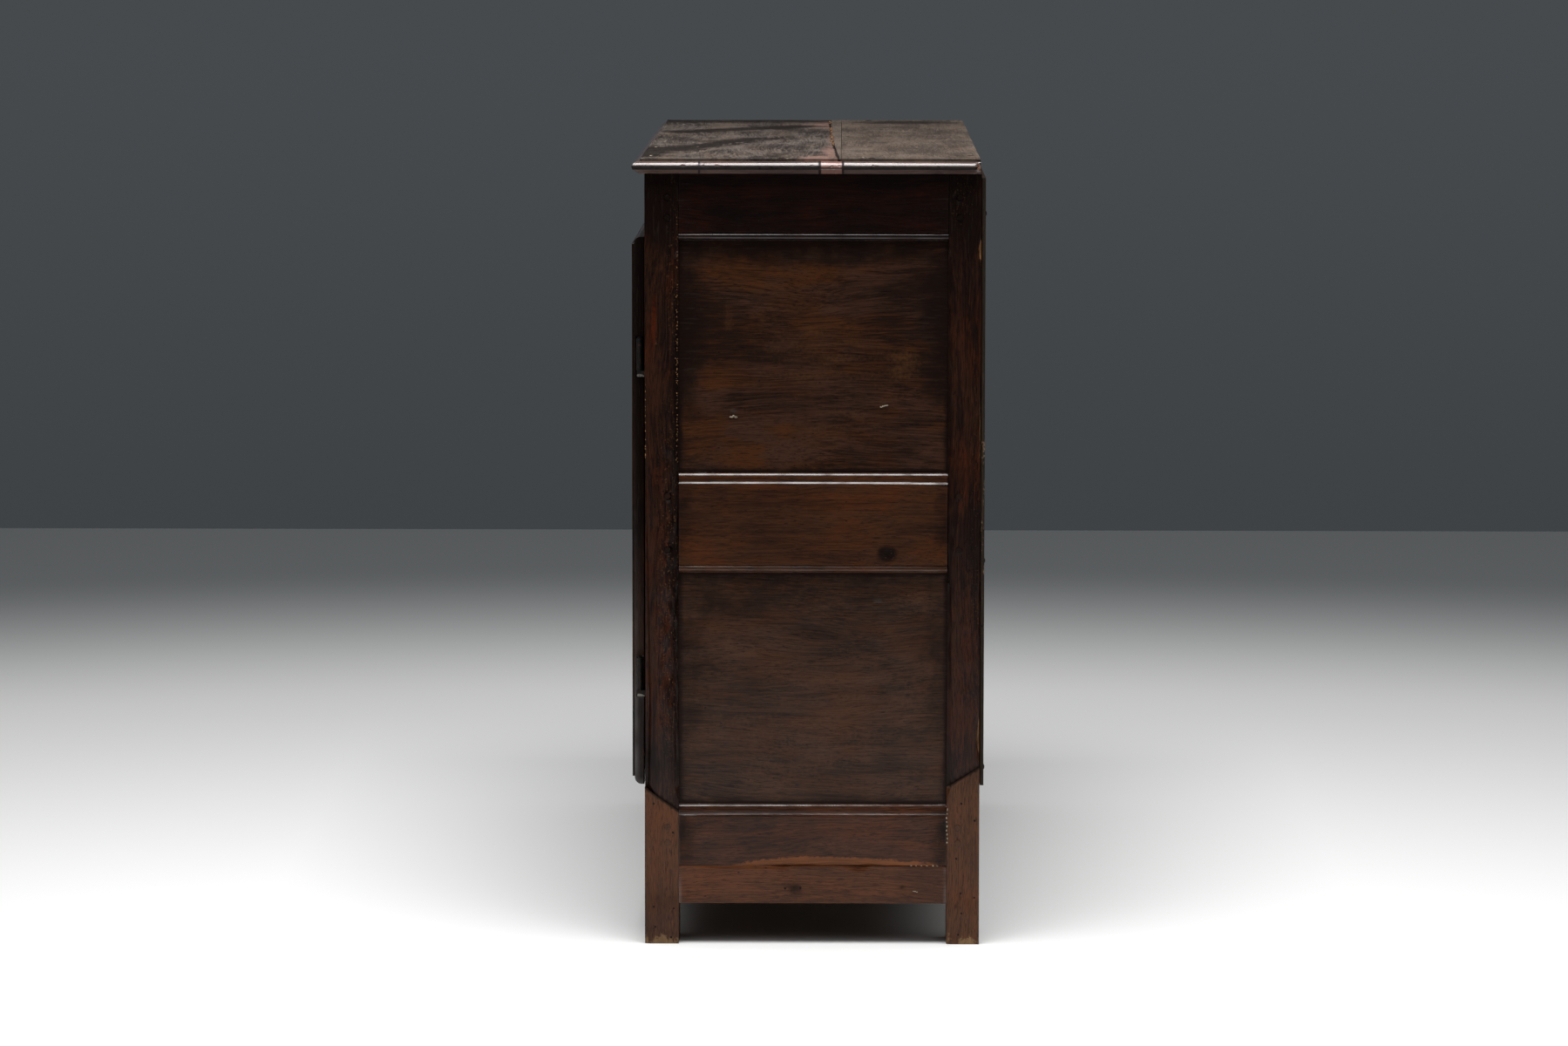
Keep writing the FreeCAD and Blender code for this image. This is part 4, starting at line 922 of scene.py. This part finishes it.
# Top. Two wide boards butted along the length and pegged down to the frame. The front one has old wax,
# dark spills and pale wipe marks, partly worn wax and partly painted sheen; the rear one is dusty. A
# reddish stain follows the joint, and beside it runs a long crack, stopped with ochre filler, with paler
# wood behind it.
board_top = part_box("top_board_front")[1].z
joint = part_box("top_board_front")[1].y
top_front_wood = wood("top_front_wood", (0.122, 0.099, 0.086), (0.118, 0.088, 0.068), (0.03, 0.023, 0.02),
                      bare=(0.118, 0.092, 0.075), grime_and_shade=(0.016, 0.0125, 0.0112), warm=(0.185, 0.11, 0.088),
                      gloss=0.34, contrast=1.2, coat=0.1)
top_rear_wood = wood("top_rear_wood", (0.126, 0.098, 0.079), (0.118, 0.086, 0.065), (0.052, 0.04, 0.033),
                     bare=(0.32, 0.14, 0.055), grime_and_shade=(0.022, 0.018, 0.016), warm=(0.185, 0.11, 0.088),
                     gloss=0.3, contrast=0.9, coat=0.05)


def on_top(rows):
    """Marks on the top, from rows of (trace, x, y, half-axes, strength)."""
    return [(trace, (x, y, board_top), reach, strength) for trace, x, y, reach, strength in rows]


def streak(trace, start, end, half, strength):
    """A mark along a line on the top, from one (x, y) to another."""
    return trace, ((*start, board_top), (*end, board_top)), half, strength


stains = on_top([
    ("warm", 0.6, joint - 0.026, (0.17, 0.046, 0.03), 0.9),
    ("warm", 0.4, joint - 0.013, (0.32, 0.022, 0.03), 0.85),
    ("warm", -0.46, joint - 0.026, (0.34, 0.044, 0.03), 0.8),
    ("warm", 0, joint - 0.012, (1, 0.014, 0.03), 0.55),
    ("grime_and_shade", 0.5, -0.03, (0.12, 0.03, 0.03), 0.6),
    ("grime_and_shade", -0.05, -0.02, (0.2, 0.02, 0.03), 0.5),
])
spills = [
    streak("grime_and_shade", (0.36, -0.165), (0.02, -0.06), 0.055, 0.85),
    streak("grime_and_shade", (0.52, -0.2), (0.3, -0.19), 0.05, 0.8),
    streak("grime_and_shade", (-0.58, -0.2), (-0.58, -0.01), 0.16, 0.75),
    streak("grime_and_shade", (-0.2, -0.16), (-0.38, -0.01), 0.07, 0.8),
]
crack_steps = 60
crack_end = 0.6
crack_shake = 0.0012
crack_path = ((-0.604, 0.0346), (-0.046, 0.0382), (0.215, 0.041), (0.561, 0.0471), (0.604, 0.048))
shake = random.Random(7)
old_crack = []
for step in range(crack_steps + 1):
    x = -crack_end + 2 * crack_end * step / crack_steps
    aimed = float(np.interp(x, [spot[0] for spot in crack_path], [spot[1] for spot in crack_path]))
    old_crack.append((x, aimed + shake.uniform(-crack_shake, crack_shake)))
paler = 0.02
behind_crack = [
    streak("bare", (x, y + paler), (next_x, next_y + paler), paler, 9)
    for (x, y), (next_x, next_y) in zip(crack_path, crack_path[1:])
]
first_cut = 0.0205
cut_step = 0.0012
crack_cuts = [(1, joint - first_cut + cut_step * k) for k in range(17)]
# Pale streaks on the front board: partly worn wax, partly painted sheen.
wipes = random.Random(21)
wipes_and_sheen = []
for wipe in range(15):
    x = wipes.uniform(0.05, 0.56)
    y = wipes.uniform(-0.165, -0.04)
    run = wipes.uniform(0.05, 0.2)
    half = wipes.uniform(0.004, 0.009)
    wipes_and_sheen.append(streak("bare", (x, y), (x - run, y + 0.24 * run), half, wipes.uniform(0.6, 1)))
rear_board_traces = on_top([
    ("grime_and_shade", -0.52, 0.14, (0.1, 0.12, 0.03), 0.8),
    ("grime_and_shade", 0.5, 0.2, (0.14, 0.03, 0.03), 0.5),
])
rear_board_traces.append(("bare", (0.607, 0.225, 0.968), (0.015, 0.012, 0.014), 1.3))
corner_scars = [
    ((0.61, 0.226, board_top - 0.004), (0.012, 0.01, 0.014), 0.004),
    ((0.503, 0.198, board_top), (0.005, 0.005, 0.004), 0.0035),
]
worn("top_board_front", top_front_wood, (9, 8, 7), (0.4, 1.6), 1.2, (),
     stains + spills + behind_crack + wipes_and_sheen, tight=(1, joint), crack=old_crack, cuts=crack_cuts)
worn("top_board_rear", top_rear_wood, (13, 8, 7), (0.4, 1.6), 1, corner_scars,
     rear_board_traces, tight=(1, joint))

ochre_filler = putty("ochre_filler", (0.3, 0.15, 0.065), (0.05, 0.025, 0.013))
filled = ((-0.58, -0.5), (-0.36, 0.2))
crack_filler = []
for x, y in old_crack:
    if any(start < x < end for start, end in filled):
        for dab in range(2):
            along = x + sprinkle.uniform(-0.018, 0.018)
            across = y + sprinkle.uniform(-0.0012, 0.0012)
            size = (sprinkle.uniform(0.002, 0.008), 0.0013, 0.001)
            crack_filler.append(((along, across, board_top - 0.0014), size))
lumps("crack_filler", crack_filler, ochre_filler, 4)
wax_sunk = 0.001
wax_size = (0.005, 0.0024, 0.0009)
wax_spots = ((0.269, -0.187), (0.517, -0.186), (0.595, -0.015), (0.555, 0.078), (0.1, -0.18),
             (-0.45, -0.17))
lumps("wax_spots", [((x, y, board_top - wax_sunk), wax_size) for x, y in wax_spots], chalk_filler_and_glints,
      6)

# Nosing. A moulded strip of darker wood glued round the front and ends of the top, mitred at the corners.
# On the near end it is in four lengths, one of them a short reddish patch over the joint of the boards,
# with dirt in its joints, nicks along its edge and a rubbed rear corner. The upright band in its hollow is
# painted dark, partly dirt and partly painted shade and dark reflection.
nosing_wood = wood("nosing_wood", (0.104, 0.064, 0.052), (0.096, 0.053, 0.042), (0.04, 0.023, 0.019),
                   bare=(0.3, 0.13, 0.05), grime_and_shade=(0.006, 0.0042, 0.0036), warm=(0.17, 0.082, 0.067),
                   relief=0.4, coat=1, sheen=0.14)
nosing_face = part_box("top_nosing_right")[1].x
patch_middle = 0.039
patch_half = 0.0162
notch_step = 0.0052
nosing_scars = bites(nosing_face, [
    (-0.122 + notch_step * k, 0.9675, (0.004, 0.0013, 0.0035), 0.0009) for k in range(21)
])
nicks = random.Random(9)
nosing_scars += bites(nosing_face, [
    (nicks.uniform(-0.22, 0.22), nicks.uniform(0.967, 0.9715),
     (0.004, nicks.uniform(0.001, 0.004), 0.0022), nicks.uniform(0.0006, 0.0012)) for k in range(46)
])
nosing_scars += bites(nosing_face, [(0.226, 0.968, (0.012, 0.01, 0.016), 0.005)])
hollow_z = 0.9684
# The hollow's dark band: partly dirt, partly painted shade and reflection of the dark wall.
hollow_dirt_and_shade = ((-0.24, 0.022, 0.004, 2.4), (0.022, 0.055, 0.0018, 1), (0.055, 0.22, 0.0036, 2))
nosing_joints = ((-0.124, 0.0015, 1), (0.0245, 0.0018, 1.7), (0.0535, 0.0018, 1.7))
nosing_traces = [
    ("grime_and_shade", ((nosing_face, start, hollow_z), (nosing_face, end, hollow_z)), half, darkening)
    for start, end, half, darkening in hollow_dirt_and_shade
]
nosing_traces += touches(nosing_face, [
    ("warm", patch_middle, 0.97, (0.05, patch_half, 0.05), 8),
    ("bare", 0.227, 0.968, (0.014, 0.008, 0.016), 1.4),
    *(("grime_and_shade", y, 0.969, (0.04, half, 0.03), darkening) for y, half, darkening in nosing_joints),
])
worn("top_nosing_right", nosing_wood, (60, 2, 1.3), (0.2, 0.6), 0.35, nosing_scars,
     nosing_traces, near=())
for side, steps in (("front", (8, 60, 60)), ("left", (60, 8, 60))):
    worn("top_nosing_" + side, nosing_wood, steps, (0.2, 0.6), 0.35, near=())

# Inside. The floor and shelf boards lie on bearers pinned to the frame. Never polished, they have
# darkened only with age and handling.
inside_wood = wood("inside_wood", (0.12, 0.073, 0.042), (0.13, 0.068, 0.033), (0.048, 0.028, 0.018),
                   bare=(0.26, 0.16, 0.09), grime_and_shade=(0.022, 0.016, 0.012), gloss=0.2, coat=0)
for node in ("floor_boards", "shelf_boards", "board_bearers"):
    worn(node, inside_wood, (22, 16, 14), (0.4, 1.2), 0.5, rim=7, near=(1,))

# Doors. Mortised and tenoned frames with fielded panels, the rails scribed over the stiles' moulding.
# Their faces are waxed like the ends, and the edge that shows beside the post is painted nearly black for
# the shade between door and post.
door_wood = wood("door_wood", (0.031, 0.013, 0.0073), (0.038, 0.0125, 0.0052), (0.01, 0.0048, 0.0032),
                 gloss=0.52)
door_panel_wood = wood("door_panel_wood", (0.035, 0.0152, 0.0083), (0.043, 0.0155, 0.0055),
                       (0.012, 0.0056, 0.0035), warm=(0.056, 0.0255, 0.0105), contrast=1.2, gloss=0.54)
hand_height = 0.6
shade_height = 0.74
for door in ("right", "left"):
    for part in ("hinge_stile", "lock_stile", "top_rail", "middle_rail", "bottom_rail"):
        node = f"door_{door}_{part}"
        low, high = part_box(node)
        traces = []
        if part == "lock_stile":
            traces = [("bare", ((low.x + high.x) / 2, low.y, hand_height), (0.05, 0.02, 0.09), 0.35)]
        # The hinge stile's outer edge is painted nearly black for the shade beside the post.
        if part == "hinge_stile":
            outer = high.x if door == "right" else low.x
            traces = [("grime_and_shade", (outer, (low.y + high.y) / 2, shade_height), (0.014, 0.03, 0.38), 1.1)]
        worn(node, door_wood, (9, 7, 9), (0.4, 1.3), 0.4, (), traces, near=(0.7, 1.6))
    for part in ("lower_panel", "upper_panel"):
        node = f"door_{door}_{part}"
        low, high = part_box(node)
        middle = (low + high) / 2
        glow = [("warm", (middle.x, low.y, middle.z), (0.16, 0.05, 0.11), 0.6)]
        worn(node, door_panel_wood, (8, 6, 8), (0.2, 0.4), 0.4, (), glow, rim=12, near=(0.6,))

# Pegs. Riven oak pins, driven through the tenons and trimmed nearly flush.
# Their end grain has drunk more wax than the frame round them.
peg_wood = wood("peg_wood", (0.022, 0.0095, 0.006), (0.026, 0.009, 0.0045), (0.009, 0.0045, 0.0033),
                bare=(0.07, 0.028, 0.0125), warm=(0.16, 0.13, 0.11), gloss=0.4)
peg_traces = on_top([("warm", 0, 0, (4, 3, 0.004), 1.3)])
for side, face in ends:
    peg_traces += touches(face, [
        ("bare", 0, 0.1, (0.2, 0.5, 0.14), 1.4),
        # Pegs near the top are painted darker, for the shade under the nosing.
        ("grime_and_shade", 0, 0.93, (0.2, 1, 0.1), 1.6),
    ])
for node in ("case_pegs", "door_right_pegs", "door_left_pegs"):
    worn(node, peg_wood, (60, 60, 60), (0.1, 0.3), 0.1, (), peg_traces, near=(), shine=0)

# Ironwork. Black forged iron: pintles, the knuckles that turn on them, lock cases, bolts, escutcheons,
# nails and the key. It is dull and slightly pitted, with rust in its hollows and bright where it rubs. The
# bright bands where knuckles meet pintles are partly rubbed iron and partly painted glints.


def make_forged():
    """Forged iron from coordinates in metres: scale, rust and the hammer's marks."""
    tree, given, out = group("forged", {
        "Vector": ("Place",),
        "Color": ("Scale Color",),
        "Float": ("Rust", "Bare"),
    }, {"Color": ("Color",), "Float": ("Roughness", "Height")})
    rust_brown = (0.07, 0.03, 0.015, 1)
    bright = (0.22, 0.2, 0.18, 1)
    blows = cloud(given["Place"], 90, 2, 0.5)
    scale = cloud(given["Place"], 420, 4, 0.65)
    rusty = band(calc("ADD", scale, times(given["Rust"], 0.3)), 0.6, 0.8)
    rubbed = band(calc("ADD", given["Bare"], calc("SUBTRACT", scale, 0.5)), 0.45, 0.7)
    colour = mix(rusty, given["Scale Color"], rust_brown)
    rough = times(rusty, 0.35, times(scale, 0.3, 0.28))
    plug(out, {
        "Color": mix(rubbed, colour, bright),
        "Roughness": times(rubbed, -0.15, rough),
        "Height": times(blows, 1.2, times(scale, 0.6)),
    })
    return tree


forged = make_forged()


def iron(name, scale_colour, rust, metal):
    """Forged iron, darker with rust and brighter with metal, rubbed where the mesh's trace says so."""
    material, tree, shader = new_finish(name)
    surface = new_node("ShaderNodeGroup", {
        "Place": new_node("ShaderNodeTexCoord", tree=tree).outputs["Object"],
        "Bare": trace_of(tree, "bare"),
        "Scale Color": (*scale_colour, 1),
        "Rust": rust,
    }, node_tree=forged).outputs
    plug(shader, {
        "Base Color": surface["Color"],
        "Metallic": metal,
        "Roughness": surface["Roughness"],
        "Normal": embossed(surface["Height"], 0.6, 0.6 * MM),
    })
    return material


black_iron = iron("black_iron", (0.009, 0.0076, 0.007), 0.3, 0.6)
handled_iron = iron("handled_iron", (0.13, 0.12, 0.11), 0.25, 0.85)
pintle_x = 0.556
pintle_y = -0.199
# Bright bands at the knuckle joints: partly rubbed iron, partly painted glints.
rub_and_glint_heights = (0.3057, 0.7065)
rubs_and_glints = [("bare", pintle_y, z, (0.03, 0.008, 0.0045), 1.6) for z in rub_and_glint_heights]
rubbed_and_glinting_ends = touches(pintle_x, rubs_and_glints) + touches(-pintle_x, rubs_and_glints)
for door in ("right", "left"):
    worn(f"door_{door}_knuckles", black_iron, (4, 4, 2), (0.2, 0.4), 0.2, (), rubbed_and_glinting_ends, near=())
    worn(f"door_{door}_lock_case", black_iron, (5, 5, 5), (0.3, 0.7), 0.25, near=(0.4, 1))
    worn(f"door_{door}_escutcheon", black_iron, (3, 3, 3), (0.2, 0.3), 0.1, near=())
    worn(f"bolt_{door}", handled_iron, (4, 4, 4), (0.3, 0.6), 0.15, near=(0.5,))
worn("pintles", black_iron, (4, 4, 2), (0.2, 0.4), 0.2, (), rubbed_and_glinting_ends, near=())
worn("key", handled_iron, (3, 3, 3), (0.1, 0.2), 0.12, near=())
worn("back_nails", black_iron, (60, 60, 60), (0.1, 0.2), 0.1, near=())

low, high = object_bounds()
